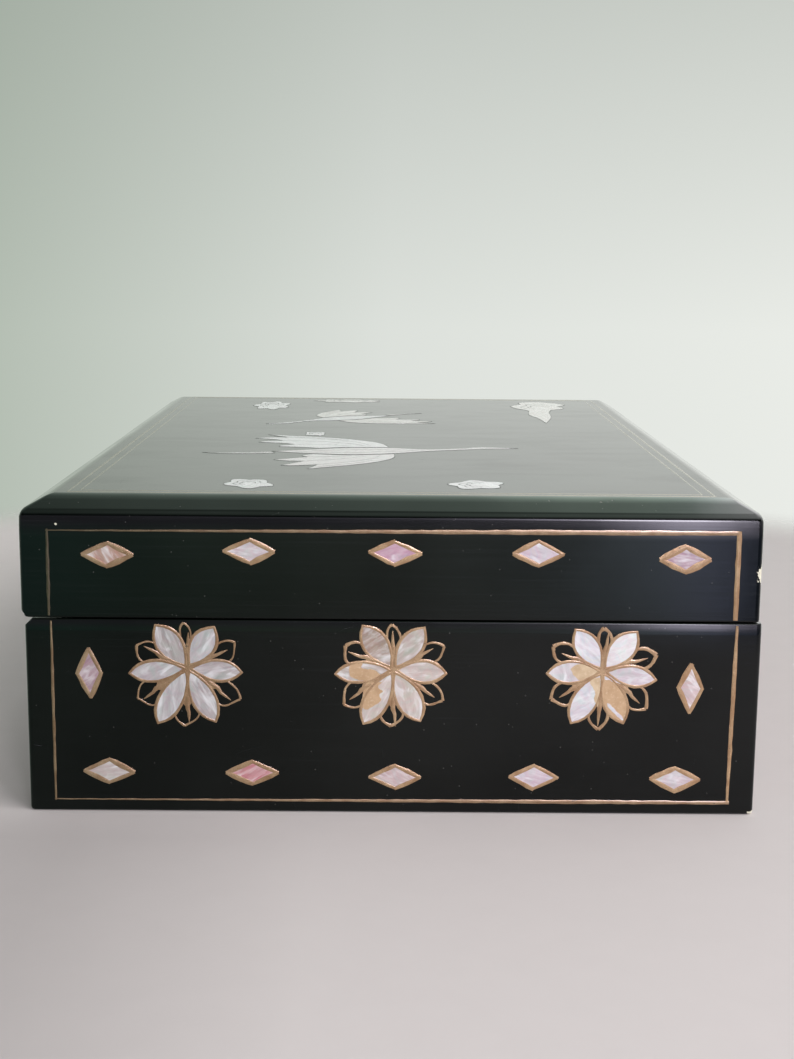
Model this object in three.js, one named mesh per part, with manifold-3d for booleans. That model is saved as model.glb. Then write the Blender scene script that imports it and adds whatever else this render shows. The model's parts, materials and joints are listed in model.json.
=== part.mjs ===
// Hinged wooden box under black lacquer, inlaid with shell.
// Millimetres, +Z up. The origin is the middle of the underside. The front, where the lid opens, faces +X,
// the hinges are on the side that faces -X, and the left end faces -Y.
import * as THREE from 'three';
import { mergeVertices } from 'three/addons/utils/BufferGeometryUtils.js';
import Module from 'manifold-3d';

const wasm = await Module();
wasm.setup();

// Outside of the closed box
const boxWidth = 200;
const boxLength = 300;
const baseHeight = 55; // underside to the middle of the seam
const lidHeight = 33; // middle of the seam to the flat of the lid
const seamGap = 0.5;
const bevelWidth = 10; // the lid's sloping border, in plan
const bevelRise = 4;
const cornerRadius = 1.5; // upright corners
const shoulderRadius = 2; // round below the sloping border
const footRadius = 1.5; // round along the underside
const rimRadius = 0.9; // arrises at the seam
const hingeRimRadius = 1.5; // the same arrises on the hinge side, where the lid rolls back over the base

// Boards
const boardThickness = 9;
const cornerLip = 3; // end board's lip over the end grain of the long boards
const floorThickness = 8;
const floorRabbet = 4; // how far the floor reaches into the boards
const panelThickness = 12; // the lid's panel at its flat
const panelTongue = 3; // how far the panel drops between the lid's boards
const glueLine = 0.1;

// Hinges
const hingeFromEnd = 55; // end of the box to the middle of a hinge
const pinInset = 1; // hinge face of the box to the line of the pin
const barrelRadius = 2.25;
const barrelPlay = 0.35; // room round the barrel in its notch
const pinRadius = 1.1;
const pinPlay = 0.1;
const pinHead = 0.4; // domed end of the pin outside the barrel
const knuckleCount = 5;
const knuckleGap = 0.3;
const leafLength = 25;
const leafReach = 7; // line of the pin to the far edge of a leaf
const leafThickness = 1;
const screwInset = 2.4; // far edge of a leaf to the screws
const screwSpacing = 15;
const screwLength = 7;
const screwHeadRadius = 1.6;
const screwShankRadius = 0.8;
const screwSlotWidth = 0.4;
const screwSlotDepth = 0.35;

// Lining of velvet on card
const liningThickness = 1.2;
const liningBelowRim = 3;

// Shell inlay
const plateThickness = 0.8;
const plateProud = 0.2; // how far a plate stands out of the lacquer
const diamondLength = 13.4;
const diamondHeight = 6.8;
const diamondFromCorner = 22; // end diamond of a row to the corner of the box
const endDiamonds = 5; // in a row across an end
const frontDiamonds = 7; // in a row along the front
const footRowHeight = 10.8; // underside to the lower row
const lidRowDrop = 10.4; // shoulder to the lid's row
const uprightFromCorner = 17.6;
const uprightDrop = 16.8; // rim of the base to the upright diamonds
const rosetteFromCorner = 43;
const rosetteDrop = 15.2; // rim of the base to the middle of a rosette
const endRosettes = 3;
const frontRosettes = 5;
const petalCount = 6;
const petalLength = 16; // middle of a rosette to the tip of a petal
const petalWidth = 8.4;
const petalMeeting = 7.4; // neighbouring petals touch from the middle out to here
const jointWidth = 0.3; // fine joint between petals, engraved in a rosette
const jointDepth = 0.3;
const drawnFlatWidth = 180; // the lid's flat that the picture on it is drawn for
const drawnFlatLength = 280;

const arcSteps = 4; // facets of a rounded edge
const curveSteps = 3; // facets of each arc of an inlaid outline
const splineSteps = 2; // facets between the places of a drawn run
const roundSteps = 16; // facets of a barrel, pin or screw
const spare = 1; // blanks pass the faces that cut them by this much

// Places that follow from the sizes
const halfWidth = boxWidth / 2;
const halfLength = boxLength / 2;
const boxHeight = baseHeight + lidHeight;
const shoulder = boxHeight - bevelRise;
const baseRim = baseHeight - seamGap / 2;
const lidRim = baseHeight + seamGap / 2;
const insideX = halfWidth - boardThickness;
const insideY = halfLength - boardThickness;
const lidCeiling = boxHeight - panelThickness;
const panelSeat = lidCeiling + panelTongue;
const pinX = pinInset - halfWidth;
const fullTurn = 2 * Math.PI;

const surface = (color, roughness, metalness) => new THREE.MeshStandardMaterial({ color, roughness, metalness });
const lacquer = surface(0x171c1c, 0.25, 0);
const shell = surface(0xe8e2dc, 0.3, 0);
const brass = surface(0xa8823f, 0.35, 0.9);
const velvet = surface(0x7d1620, 0.95, 0);

// Solids from three.js geometry, and back

function solid(geometry) {
  geometry.deleteAttribute('normal');
  geometry.deleteAttribute('uv');
  const merged = mergeVertices(geometry);
  const index = merged.index.array;
  const triangles = [];
  for (let i = 0; i < index.length; i += 3) {
    const [a, b, c] = index.subarray(i, i + 3);
    if (a !== b && b !== c && c !== a) triangles.push(a, b, c);
  }
  const vertProperties = merged.attributes.position.array;
  const triVerts = new Uint32Array(triangles);
  return new wasm.Manifold(new wasm.Mesh({ numProp: 3, vertProperties, triVerts }));
}

function piece(name, body, material) {
  const { vertProperties, triVerts } = body.getMesh();
  const geometry = new THREE.BufferGeometry();
  geometry.setAttribute('position', new THREE.BufferAttribute(vertProperties, 3));
  geometry.setIndex(new THREE.BufferAttribute(triVerts, 1));
  geometry.computeVertexNormals();
  const mesh = new THREE.Mesh(geometry, material.clone());
  mesh.name = name;
  return mesh;
}

// A rectangular blank between two opposite corners
function block(cornerA, cornerB) {
  const box = new THREE.Box3().setFromPoints([new THREE.Vector3(...cornerA), new THREE.Vector3(...cornerB)]);
  const size = box.getSize(new THREE.Vector3());
  const middle = box.getCenter(new THREE.Vector3());
  return solid(new THREE.BoxGeometry(size.x, size.y, size.z).translate(middle.x, middle.y, middle.z));
}

// A shape drawn on a plane and pushed through from one level of the plane's normal to another
function prism(shape, plane, from, to) {
  const geometry = new THREE.ExtrudeGeometry(shape, { depth: to - from, bevelEnabled: false });
  return solid(geometry.translate(0, 0, from).applyMatrix4(plane));
}

// A bar of round section along Y, centred on a point
function bar(radius, length, x, y, z) {
  return solid(new THREE.CylinderGeometry(radius, radius, length, roundSteps).translate(x, y, z));
}

// Closed outline through corners given as [x, y, radius], each rounded by its own radius
function rounded(corners) {
  const at = (i) => new THREE.Vector2(...corners.at(i % corners.length));
  const points = [];
  corners.forEach(([, , radius], i) => {
    const corner = at(i);
    if (radius === 0) {
      points.push(corner);
      return;
    }
    const toLast = at(i - 1).sub(corner).normalize();
    const toNext = at(i + 1).sub(corner).normalize();
    const halfAngle = Math.acos(toLast.dot(toNext)) / 2;
    const middle = toLast.clone().add(toNext).normalize();
    const centre = corner.clone().addScaledVector(middle, radius / Math.sin(halfAngle));
    const sweep = Math.PI - 2 * halfAngle;
    const turn = Math.sign(toLast.cross(toNext));
    for (let step = 0; step <= arcSteps; step++) {
      const angle = turn * (0.5 - step / arcSteps) * sweep;
      const spoke = middle.clone().rotateAround(new THREE.Vector2(), angle).multiplyScalar(-radius);
      points.push(centre.clone().add(spoke));
    }
  });
  return new THREE.Shape(points);
}

// Planes that shapes are drawn on: the axes of the drawing, with its normal out of the face
function plane(across, up, origin) {
  const normal = new THREE.Vector3().crossVectors(across, up);
  return new THREE.Matrix4().makeBasis(across, up, normal).setPosition(...origin);
}
const X = new THREE.Vector3(1, 0, 0);
const Y = new THREE.Vector3(0, 1, 0);
const Z = new THREE.Vector3(0, 0, 1);
const levelPlane = plane(X, Y, [0, 0, 0]);
const endPlane = plane(X, Z, [0, 0, 0]);
const sidePlane = plane(Y, Z, [0, 0, 0]);
const leftFace = plane(X, Z, [0, -halfLength, 0]);
const rightFace = plane(X.clone().negate(), Z, [0, halfLength, 0]);
const frontFace = plane(Y, Z, [halfWidth, 0, 0]);
const topFace = plane(X, Y, [0, 0, boxHeight]);

// Outside of the base and of the lid: a plan with round corners, met by the profiles across and along the box

function outside(profileAcross, profileAlong) {
  const plan = rounded([
    [-halfWidth, -halfLength, cornerRadius],
    [halfWidth, -halfLength, cornerRadius],
    [halfWidth, halfLength, cornerRadius],
    [-halfWidth, halfLength, cornerRadius],
  ]);
  return prism(plan, levelPlane, -spare, boxHeight + spare)
    .intersect(prism(profileAcross, endPlane, -halfLength - spare, halfLength + spare))
    .intersect(prism(profileAlong, sidePlane, -halfWidth - spare, halfWidth + spare));
}

const baseProfile = (half, backRadius) => rounded([
  [-half, 0, footRadius],
  [half, 0, footRadius],
  [half, baseRim, rimRadius],
  [-half, baseRim, backRadius],
]);
const lidProfile = (half, backRadius) => rounded([
  [-half, lidRim, backRadius],
  [half, lidRim, rimRadius],
  [half, shoulder, shoulderRadius],
  [half - bevelWidth, boxHeight, 0],
  [bevelWidth - half, boxHeight, 0],
  [-half, shoulder, shoulderRadius],
]);
const baseOutside = outside(baseProfile(halfWidth, hingeRimRadius), baseProfile(halfLength, rimRadius));
const lidOutside = outside(lidProfile(halfWidth, hingeRimRadius), lidProfile(halfLength, rimRadius));

// Four boards with rabbeted corners: the ends lap the long boards with a lip and reach between them

function longBoard(form, side, low, high) {
  const reach = halfLength - cornerLip - glueLine;
  return form.intersect(block([side * insideX, -reach, low], [side * (halfWidth + spare), reach, high]));
}

function endBoard(form, side, low, high) {
  const between = insideX - glueLine;
  const lap = halfLength - cornerLip;
  const lip = block([-halfWidth - spare, side * lap, low], [halfWidth + spare, side * (halfLength + spare), high]);
  const tongue = block([-between, side * insideY, low], [between, side * (lap + cornerLip / 2), high]);
  return form.intersect(lip.add(tongue));
}

// Outlines of the shell pieces

// Smooth runs that meet in points, each run a list of places that starts where the last one ended
function drawn(...runs) {
  const path = new THREE.Path();
  path.moveTo(...runs[0][0]);
  for (const run of runs) path.splineThru(run.slice(1).map((place) => new THREE.Vector2(...place)));
  return polygon(path, splineSteps);
}

function polygon(path, steps = curveSteps) {
  const points = path.getPoints(steps);
  if (points[0].distanceTo(points.at(-1)) < glueLine) points.pop();
  if (THREE.ShapeUtils.isClockWise(points)) points.reverse();
  return new THREE.Shape(points);
}

// The same outline moved outwards by a clearance
function grown(shape, clearance) {
  const points = shape.getPoints();
  if (points[0].equals(points.at(-1))) points.pop();
  const sharpest = 0.1;
  return new THREE.Shape(points.map((point, i) => {
    const before = point.clone().sub(points.at(i - 1)).normalize();
    const after = points[(i + 1) % points.length].clone().sub(point).normalize();
    const out = new THREE.Vector2(before.y + after.y, -before.x - after.x).normalize();
    const share = Math.max(out.x * after.y - out.y * after.x, sharpest);
    return point.clone().addScaledVector(out, clearance / share);
  }));
}

const diamond = new THREE.Shape([
  new THREE.Vector2(diamondLength / 2, 0),
  new THREE.Vector2(0, diamondHeight / 2),
  new THREE.Vector2(-diamondLength / 2, 0),
  new THREE.Vector2(0, -diamondHeight / 2),
]);

// Six pointed petals that meet edge to edge round the middle
const rosette = (() => {
  const path = new THREE.Path();
  const onPetal = (k, along, aside) => new THREE.Vector2(along, aside)
    .rotateAround(new THREE.Vector2(), k * fullTurn / petalCount);
  const meeting = (k) => onPetal(k, petalMeeting, 0).rotateAround(new THREE.Vector2(), fullTurn / petalCount / 2);
  const belly = (petalLength + petalMeeting) / 2;
  path.moveTo(...meeting(-1));
  for (let k = 0; k < petalCount; k++) {
    path.quadraticCurveTo(...onPetal(k, belly, -petalWidth / 2), ...onPetal(k, petalLength, 0));
    path.quadraticCurveTo(...onPetal(k, belly, petalWidth / 2), ...meeting(k));
  }
  return polygon(path);
})();

// A crane in flight towards +X, as a pieced figure of body, two wings and trailing legs
function crane(scale) {
  const sized = (...runs) => drawn(...runs.map((run) => run.map(([x, y]) => [x * scale, y * scale])));
  return {
    body: sized(
      [[52, 5], [43, 8.4], [38, 8.8], [31, 6], [20, 3.6], [7, 8], [-8, 9], [-22, 5], [-36, 1]],
      [[-36, 1], [-24, -5], [-8, -9], [6, -6.5], [20, -0.6], [31, 2], [40, 4.4], [52, 5]],
    ),
    far_wing: sized(
      [[6, 10], [3, 24], [-11, 38], [-36, 50]],
      [[-36, 50], [-30, 43], [-29, 41]],
      [[-29, 41], [-36, 41], [-41, 39]],
      [[-41, 39], [-34, 35], [-31, 31]],
      [[-31, 31], [-37, 30], [-40, 27]],
      [[-40, 27], [-32, 24], [-27, 20]],
      [[-27, 20], [-32, 17], [-33, 14]],
      [[-33, 14], [-26, 12], [-19, 9]],
      [[-19, 9], [-8, 11], [6, 10]],
    ),
    near_wing: sized(
      [[6, -8.6], [4, -20], [-6, -32], [-26, -44]],
      [[-26, -44], [-23, -37], [-22, -34]],
      [[-22, -34], [-30, -36], [-34, -35]],
      [[-34, -35], [-29, -29], [-26, -25]],
      [[-26, -25], [-32, -24], [-36, -21]],
      [[-36, -21], [-30, -18], [-24, -15]],
      [[-24, -15], [-26, -11], [-22, -7.4]],
      [[-22, -7.4], [-9, -11], [6, -8.6]],
    ),
    legs: sized(
      [[-37, -0.5], [-48, -2], [-60, -1.5]],
      [[-60, -1.5], [-54, -4], [-48, -5]],
      [[-48, -5], [-40, -4.5], [-35, -3.6]],
      [[-35, -3.6], [-36, -2], [-37, -0.5]],
    ),
  };
}

// A cloud of round lobes between cusps, which may end in a tail
function cloud(length, depth, lobes) {
  const path = new THREE.Path();
  const cusp = 0.36;
  const swell = 0.68;
  const place = (share, k) => {
    const angle = k * fullTurn / lobes;
    return [share * length * Math.cos(angle), share * depth * Math.sin(angle)];
  };
  path.moveTo(...place(cusp, 0));
  for (let k = 0; k < lobes; k++) path.quadraticCurveTo(...place(swell, k + 0.5), ...place(cusp, k + 1));
  return polygon(path);
}

const streamingCloud = drawn(
  [[-2, -59], [-3.5, -42], [-6, -28], [-5, -12], [-9, -4]],
  [[-9, -4], [-11, 6], [-6, 14]],
  [[-6, 14], [-6, 22], [2, 26], [8, 22]],
  [[8, 22], [13, 14], [9, 6]],
  [[9, 6], [11, -2], [5, -8]],
  [[5, -8], [3, -20], [2, -38], [-2, -59]],
);

// Where the shell pieces lie. A place is the middle of the piece on its face, and its turn.

function placed(name, shape, face, u, v, turn = 0) {
  const matrix = face.clone()
    .multiply(new THREE.Matrix4().makeTranslation(u, v, 0))
    .multiply(new THREE.Matrix4().makeRotationZ(turn));
  return { name, shape, matrix };
}

function row(count, half, inset) {
  const step = 2 * (half - inset) / (count - 1);
  return Array.from({ length: count }, (_, i) => inset - half + i * step);
}

function lidInlay(face, half, diamonds) {
  return row(diamonds, half, diamondFromCorner)
    .map((u, i) => placed(`lid_diamond_${i + 1}`, diamond, face, u, shoulder - lidRowDrop));
}

function baseInlay(face, half, diamonds, rosettes) {
  return [
    ...row(diamonds, half, diamondFromCorner)
      .map((u, i) => placed(`foot_diamond_${i + 1}`, diamond, face, u, footRowHeight)),
    ...row(2, half, uprightFromCorner)
      .map((u, i) => placed(`upright_diamond_${i + 1}`, diamond, face, u, baseRim - uprightDrop, Math.PI / 2)),
    ...row(rosettes, half, rosetteFromCorner)
      .map((u, i) => placed(`rosette_${i + 1}`, rosette, face, u, baseRim - rosetteDrop)),
  ];
}

// The picture on the lid's flat. Places and sizes are drawn in millimetres, and the whole is fitted to the flat.
const fitAcross = (boxWidth - 2 * bevelWidth) / drawnFlatWidth;
const fitAlong = (boxLength - 2 * bevelWidth) / drawnFlatLength;
const fitSize = Math.min(fitAcross, fitAlong);

function onTop(name, shape, u, v, turn = 0) {
  const points = shape.getPoints().map((point) => point.clone().multiplyScalar(fitSize));
  return placed(name, new THREE.Shape(points), topFace, u * fitAcross, v * fitAlong, turn);
}

function craneOnTop(name, scale, u, v, turn) {
  return Object.entries(crane(scale)).map(([part, shape]) => onTop(`${name}_${part}`, shape, u, v, turn));
}

const topInlay = [
  ...craneOnTop('large_crane', 0.95, -6, -46, 0.1),
  ...craneOnTop('small_crane', 0.66, -21, 54, 3.7),
  onTop('cloud_near_left', cloud(15, 20, 5), -41.5, -121, 0.3),
  onTop('cloud_near_right', cloud(19, 17, 5), 24, -120, 1.1),
  onTop('cloud_far_left', cloud(16, 36, 7), -51, 104),
  onTop('cloud_far_middle', cloud(30, 14, 7), -19, 126),
  onTop('cloud_small', cloud(9, 13, 4), -28, 2),
  onTop('cloud_streaming', streamingCloud, 62, 102),
];

function plate({ shape }) {
  const body = prism(shape, levelPlane, plateProud - plateThickness, plateProud);
  if (shape !== rosette) return body;
  return joints(body);
}

// The engraved lines where petals meet
function joints(body) {
  let result = body;
  for (let k = 0; k < petalCount / 2; k++) {
    const long = petalLength;
    const line = new THREE.BoxGeometry(2 * long, jointWidth, 2 * jointDepth)
      .rotateZ((k + 0.5) * fullTurn / petalCount)
      .translate(0, 0, plateProud);
    result = result.subtract(solid(line));
  }
  return result;
}

function shellPiece(place) {
  const mesh = piece(place.name, plate(place), shell);
  mesh.applyMatrix4(place.matrix);
  return mesh;
}

// A face with its pockets for the plates
function pocketed(board, places) {
  const back = plateProud - plateThickness - glueLine;
  return places.reduce((body, { shape, matrix }) => (
    body.subtract(prism(grown(shape, glueLine), matrix, back, spare))
  ), board);
}

// A face with the same inlay standing out of it as part of the board
function inlaid(board, places) {
  return places.reduce((body, { shape, matrix }) => (
    body.add(prism(shape, matrix, plateProud - plateThickness, plateProud))
  ), board);
}

// Hinges: two leaves let into the rims, whose knuckles close round one pin

const screwPlace = leafReach - screwInset;
const hingePlaces = [hingeFromEnd - halfLength, halfLength - hingeFromEnd];

function turned(profile) {
  return new THREE.LatheGeometry(profile.map((place) => new THREE.Vector2(...place)), roundSteps);
}

// A countersunk screw pointing down with its head's face at 0
function screwForm(clearance) {
  const head = screwHeadRadius + clearance;
  const shank = screwShankRadius + clearance;
  const neck = screwShankRadius - screwHeadRadius;
  const tip = -screwLength - clearance;
  return turned([[0, tip], [shank, tip + shank], [shank, neck], [head, 0], [0, 0]]).rotateX(Math.PI / 2);
}

function screw() {
  const slot = block(
    [-screwHeadRadius - spare, -screwSlotWidth / 2, -screwSlotDepth],
    [screwHeadRadius + spare, screwSlotWidth / 2, spare],
  );
  return solid(screwForm(0)).subtract(slot);
}

// The space that the screws of one leaf fill, open at the face of the leaf
function screwSpaces(upwards, x, y, z) {
  return [-screwSpacing / 2, screwSpacing / 2].map((along) => {
    const form = screwForm(glueLine);
    if (upwards > 0) form.rotateX(Math.PI);
    return solid(form.translate(x + screwPlace, y + along, z + upwards * (seamGap / 2 - glueLine)));
  });
}

// A leaf about the line of its pin. Upwards is 1 for the lid's leaf and -1 for the base's.
function leaf(upwards) {
  const face = upwards * seamGap / 2;
  const back = face + upwards * leafThickness;
  const pitch = leafLength / knuckleCount;
  const middles = Array.from({ length: knuckleCount }, (_, i) => (i + 0.5) * pitch - leafLength / 2);
  const own = middles.filter((_, i) => (i % 2 === 0) === (upwards < 0));
  const others = middles.filter((middle) => !own.includes(middle));
  let body = block([0, -leafLength / 2, face], [leafReach, leafLength / 2, back]);
  for (const y of others) body = body.subtract(bar(barrelRadius + knuckleGap, pitch, 0, y, 0));
  for (const y of own) body = body.add(bar(barrelRadius, pitch - knuckleGap, 0, y, 0));
  body = body.subtract(bar(pinRadius + pinPlay, leafLength + 2 * spare, 0, 0, 0));
  for (const space of screwSpaces(upwards, 0, 0, 0)) body = body.subtract(space);
  return body;
}

function hingePin() {
  const half = leafLength / 2;
  const dome = pinRadius / 2;
  return solid(turned([
    [0, -half - pinHead], [dome, -half - pinHead], [pinRadius, -half],
    [pinRadius, half], [dome, half + pinHead], [0, half + pinHead],
  ]));
}

// What a back board gives up to a hinge: a notch round the barrel, a mortise for the leaf and the screws' holes
function hingeSpace(upwards, y) {
  const half = leafLength / 2 + glueLine;
  const depth = upwards * (seamGap / 2 + leafThickness + glueLine);
  const notch = bar(barrelRadius + barrelPlay, leafLength + 2 * (pinHead + barrelPlay), pinX, y, baseHeight);
  const mortise = block([pinX, y - half, baseHeight], [pinX + leafReach + glueLine, y + half, baseHeight + depth]);
  return screwSpaces(upwards, pinX, y, baseHeight).reduce((body, space) => body.add(space), notch.add(mortise));
}

function hinge(number, y) {
  const group = new THREE.Group();
  group.position.set(pinX, y, baseHeight);
  group.add(piece(`hinge_${number}_base_leaf`, leaf(-1), brass));
  group.add(piece(`hinge_${number}_lid_leaf`, leaf(1), brass));
  group.add(piece(`hinge_${number}_pin`, hingePin(), brass));
  for (const [where, upwards] of [['base', -1], ['lid', 1]]) {
    [-1, 1].forEach((side, i) => {
      const mesh = piece(`hinge_${number}_${where}_screw_${i + 1}`, screw(), brass);
      mesh.position.set(screwPlace, side * screwSpacing / 2, upwards * seamGap / 2);
      if (upwards > 0) mesh.rotation.x = Math.PI;
      group.add(mesh);
    });
  }
  return group;
}

// Base

const base = new THREE.Group();
const floorX = insideX + floorRabbet;
const floorY = insideY + floorRabbet;
const floorSpace = block([-floorX, -floorY, -spare], [floorX, floorY, floorThickness + glueLine]);
const baseBoard = (make, side) => make(baseOutside, side, -spare, baseHeight).subtract(floorSpace);
const leftBaseInlay = baseInlay(leftFace, halfWidth, endDiamonds, endRosettes);

base.add(piece('base_front_board', inlaid(
  baseBoard(longBoard, 1),
  baseInlay(frontFace, halfLength, frontDiamonds, frontRosettes),
), lacquer));
base.add(piece('base_back_board', hingePlaces.reduce(
  (body, y) => body.subtract(hingeSpace(-1, y)),
  baseBoard(longBoard, -1),
), lacquer));
base.add(piece('base_right_end', inlaid(
  baseBoard(endBoard, 1),
  baseInlay(rightFace, halfWidth, endDiamonds, endRosettes),
), lacquer));
base.add(piece('base_left_end', pocketed(baseBoard(endBoard, -1), leftBaseInlay), lacquer));
base.add(piece('base_floor', block(
  [glueLine - floorX, glueLine - floorY, 0],
  [floorX - glueLine, floorY - glueLine, floorThickness],
), lacquer));
leftBaseInlay.forEach((place) => base.add(shellPiece(place)));

// Lid

const lid = new THREE.Group();
const lidBoard = (make, side) => make(lidOutside, side, baseHeight, panelSeat);
const leftLidInlay = lidInlay(leftFace, halfWidth, endDiamonds);

lid.add(piece('lid_front_board', inlaid(
  lidBoard(longBoard, 1),
  lidInlay(frontFace, halfLength, frontDiamonds),
), lacquer));
lid.add(piece('lid_back_board', hingePlaces.reduce(
  (body, y) => body.subtract(hingeSpace(1, y)),
  lidBoard(longBoard, -1),
), lacquer));
lid.add(piece('lid_right_end', inlaid(
  lidBoard(endBoard, 1),
  lidInlay(rightFace, halfWidth, endDiamonds),
), lacquer));
lid.add(piece('lid_left_end', pocketed(lidBoard(endBoard, -1), leftLidInlay), lacquer));

const panelCap = lidOutside.intersect(block(
  [-halfWidth - spare, -halfLength - spare, panelSeat + glueLine],
  [halfWidth + spare, halfLength + spare, boxHeight + spare],
));
const panelTenon = block(
  [glueLine - insideX, glueLine - insideY, lidCeiling],
  [insideX - glueLine, insideY - glueLine, panelSeat + spare],
);
lid.add(piece('lid_panel', pocketed(panelCap.add(panelTenon), topInlay), lacquer));
[...leftLidInlay, ...topInlay].forEach((place) => lid.add(shellPiece(place)));

// Lining: cards glued to the boards, the end ones between the long ones and the floor's between them all

const cardX = insideX - glueLine - liningThickness;
const cardY = insideY - glueLine - liningThickness;
const cardLow = floorThickness + glueLine;
const cardHigh = baseRim - liningBelowRim;

for (const [name, side] of [['front', 1], ['back', -1]]) {
  base.add(piece(`base_lining_${name}`, block(
    [side * cardX, glueLine - insideY, cardLow],
    [side * (cardX + liningThickness), insideY - glueLine, cardHigh],
  ), velvet));
}
for (const [name, side] of [['right', 1], ['left', -1]]) {
  base.add(piece(`base_lining_${name}`, block(
    [glueLine - cardX, side * cardY, cardLow],
    [cardX - glueLine, side * (cardY + liningThickness), cardHigh],
  ), velvet));
}
base.add(piece('base_lining_floor', block(
  [glueLine - cardX, glueLine - cardY, cardLow],
  [cardX - glueLine, cardY - glueLine, cardLow + liningThickness],
), velvet));
lid.add(piece('lid_lining', block(
  [glueLine - insideX, glueLine - insideY, lidCeiling - glueLine],
  [insideX - glueLine, insideY - glueLine, lidCeiling - glueLine - liningThickness],
), velvet));

const box = new THREE.Group();
box.add(base, lid, ...hingePlaces.map((y, i) => hinge(i + 1, y)));

export default box;
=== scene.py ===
import json
import math
import random

import bmesh
import bpy
from mathutils import Matrix, Vector
from mathutils.geometry import interpolate_bezier

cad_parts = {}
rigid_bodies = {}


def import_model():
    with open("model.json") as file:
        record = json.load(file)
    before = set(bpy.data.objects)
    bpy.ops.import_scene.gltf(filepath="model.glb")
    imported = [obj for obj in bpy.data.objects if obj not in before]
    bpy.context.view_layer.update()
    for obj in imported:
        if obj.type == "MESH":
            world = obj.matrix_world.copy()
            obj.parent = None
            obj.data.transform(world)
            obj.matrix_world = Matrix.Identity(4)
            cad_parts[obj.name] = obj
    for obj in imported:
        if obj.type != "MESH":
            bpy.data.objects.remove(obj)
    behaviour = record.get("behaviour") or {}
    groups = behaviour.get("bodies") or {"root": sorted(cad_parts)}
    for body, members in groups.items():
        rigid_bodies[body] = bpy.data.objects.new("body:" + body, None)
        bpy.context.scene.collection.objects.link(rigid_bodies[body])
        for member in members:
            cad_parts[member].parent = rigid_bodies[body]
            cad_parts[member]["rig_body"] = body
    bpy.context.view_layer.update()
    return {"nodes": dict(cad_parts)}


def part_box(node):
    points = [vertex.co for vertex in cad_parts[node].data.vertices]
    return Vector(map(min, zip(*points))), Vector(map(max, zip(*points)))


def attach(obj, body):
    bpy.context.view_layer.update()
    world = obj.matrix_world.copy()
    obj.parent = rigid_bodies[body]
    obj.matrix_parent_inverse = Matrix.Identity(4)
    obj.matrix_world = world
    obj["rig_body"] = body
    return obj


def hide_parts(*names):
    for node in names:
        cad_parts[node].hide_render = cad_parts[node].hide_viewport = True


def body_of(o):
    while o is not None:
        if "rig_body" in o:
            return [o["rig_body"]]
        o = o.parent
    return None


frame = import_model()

scene = bpy.context.scene
scene.view_settings.view_transform = "Standard"
mm = 0.001

# Camera. It stands in front of the box's left end, a little above the lid, and looks down slightly.
# Its place, turn and lens come from the corners of the box in the photograph.
camera_place = Vector((-1.86, -569.2, 155.3)) * mm
camera_pitch = math.radians(10.165)
camera_yaw = math.radians(-0.385)
camera_roll = math.radians(0.518)
camera_lens = 53.69

level_ahead = Vector((-math.sin(camera_yaw), math.cos(camera_yaw), 0))
level_right = Vector((math.cos(camera_yaw), math.sin(camera_yaw), 0))
ahead = math.cos(camera_pitch) * level_ahead - math.sin(camera_pitch) * Vector((0, 0, 1))
upward = math.sin(camera_pitch) * level_ahead + math.cos(camera_pitch) * Vector((0, 0, 1))
camera_right = math.cos(camera_roll) * level_right + math.sin(camera_roll) * upward
camera_up = math.cos(camera_roll) * upward - math.sin(camera_roll) * level_right
camera_turn = Matrix((camera_right, camera_up, -ahead)).transposed().to_4x4()
camera = bpy.data.objects.new("camera", bpy.data.cameras.new("camera"))
scene.collection.objects.link(camera)
camera.data.lens = camera_lens
camera.data.clip_start = 0.01
camera.matrix_world = Matrix.Translation(camera_place) @ camera_turn
scene.camera = camera


# Room. A pale floor that fades out, a grey-green wall that is darker on the left, and soft daylight from the
# front right. The camera sees floor and wall alone. The box's gloss also mirrors a ceiling and, behind the
# camera, a room with a bright window.
def feed(tree, socket, value):
    """Links a value that comes from another node, or sets a plain one."""
    if isinstance(value, bpy.types.NodeSocket):
        tree.links.new(value, socket)
    else:
        socket.default_value = value


def add(tree, kind, inputs=None, **settings):
    made = tree.nodes.new("ShaderNode" + kind)
    for key, value in settings.items():
        setattr(made, key, value)
    for key, value in (inputs or {}).items():
        feed(tree, made.inputs[key], value)
    return made


def mixed(tree, factor, first, second, blend="MIX"):
    """The colour from first to second, by factor."""
    made = add(tree, "Mix", {0: factor}, data_type="RGBA", blend_type=blend)
    for place, value in ((6, first), (7, second)):
        feed(tree, made.inputs[place], value if isinstance(value, bpy.types.NodeSocket) else (*value, 1))
    return made.outputs[2]


def toned(tree, colour, other):
    return mixed(tree, 1.0, colour, other, "MULTIPLY")


def math_of(tree, operation, *values):
    return add(tree, "Math", dict(enumerate(values)), operation=operation).outputs[0]


def summed(tree, *shares):
    """The sum of values, each times its share."""
    total = 0.0
    for value, share in shares:
        total = math_of(tree, "MULTIPLY_ADD", value, share, total)
    return total


def vector_of(tree, operation, inputs, output="Vector"):
    return add(tree, "VectorMath", inputs, operation=operation).outputs[output]


def ranged(tree, value, low, high, to_low=0.0, to_high=1.0, smooth=False):
    """Value taken from its range low to high into another range, and held at its ends."""
    made = add(
        tree, "MapRange",
        {"Value": value, "From Min": low, "From Max": high, "To Min": to_low, "To Max": to_high},
        interpolation_type="SMOOTHSTEP" if smooth else "LINEAR",
    )
    return made.outputs["Result"]


def veiled(tree, colour, *veils):
    """A colour under others, each given with a value, the value's range and the most that it then covers."""
    for value, low, high, most, other in veils:
        colour = mixed(tree, ranged(tree, value, low, high, 0.0, most), colour, other)
    return colour


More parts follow.
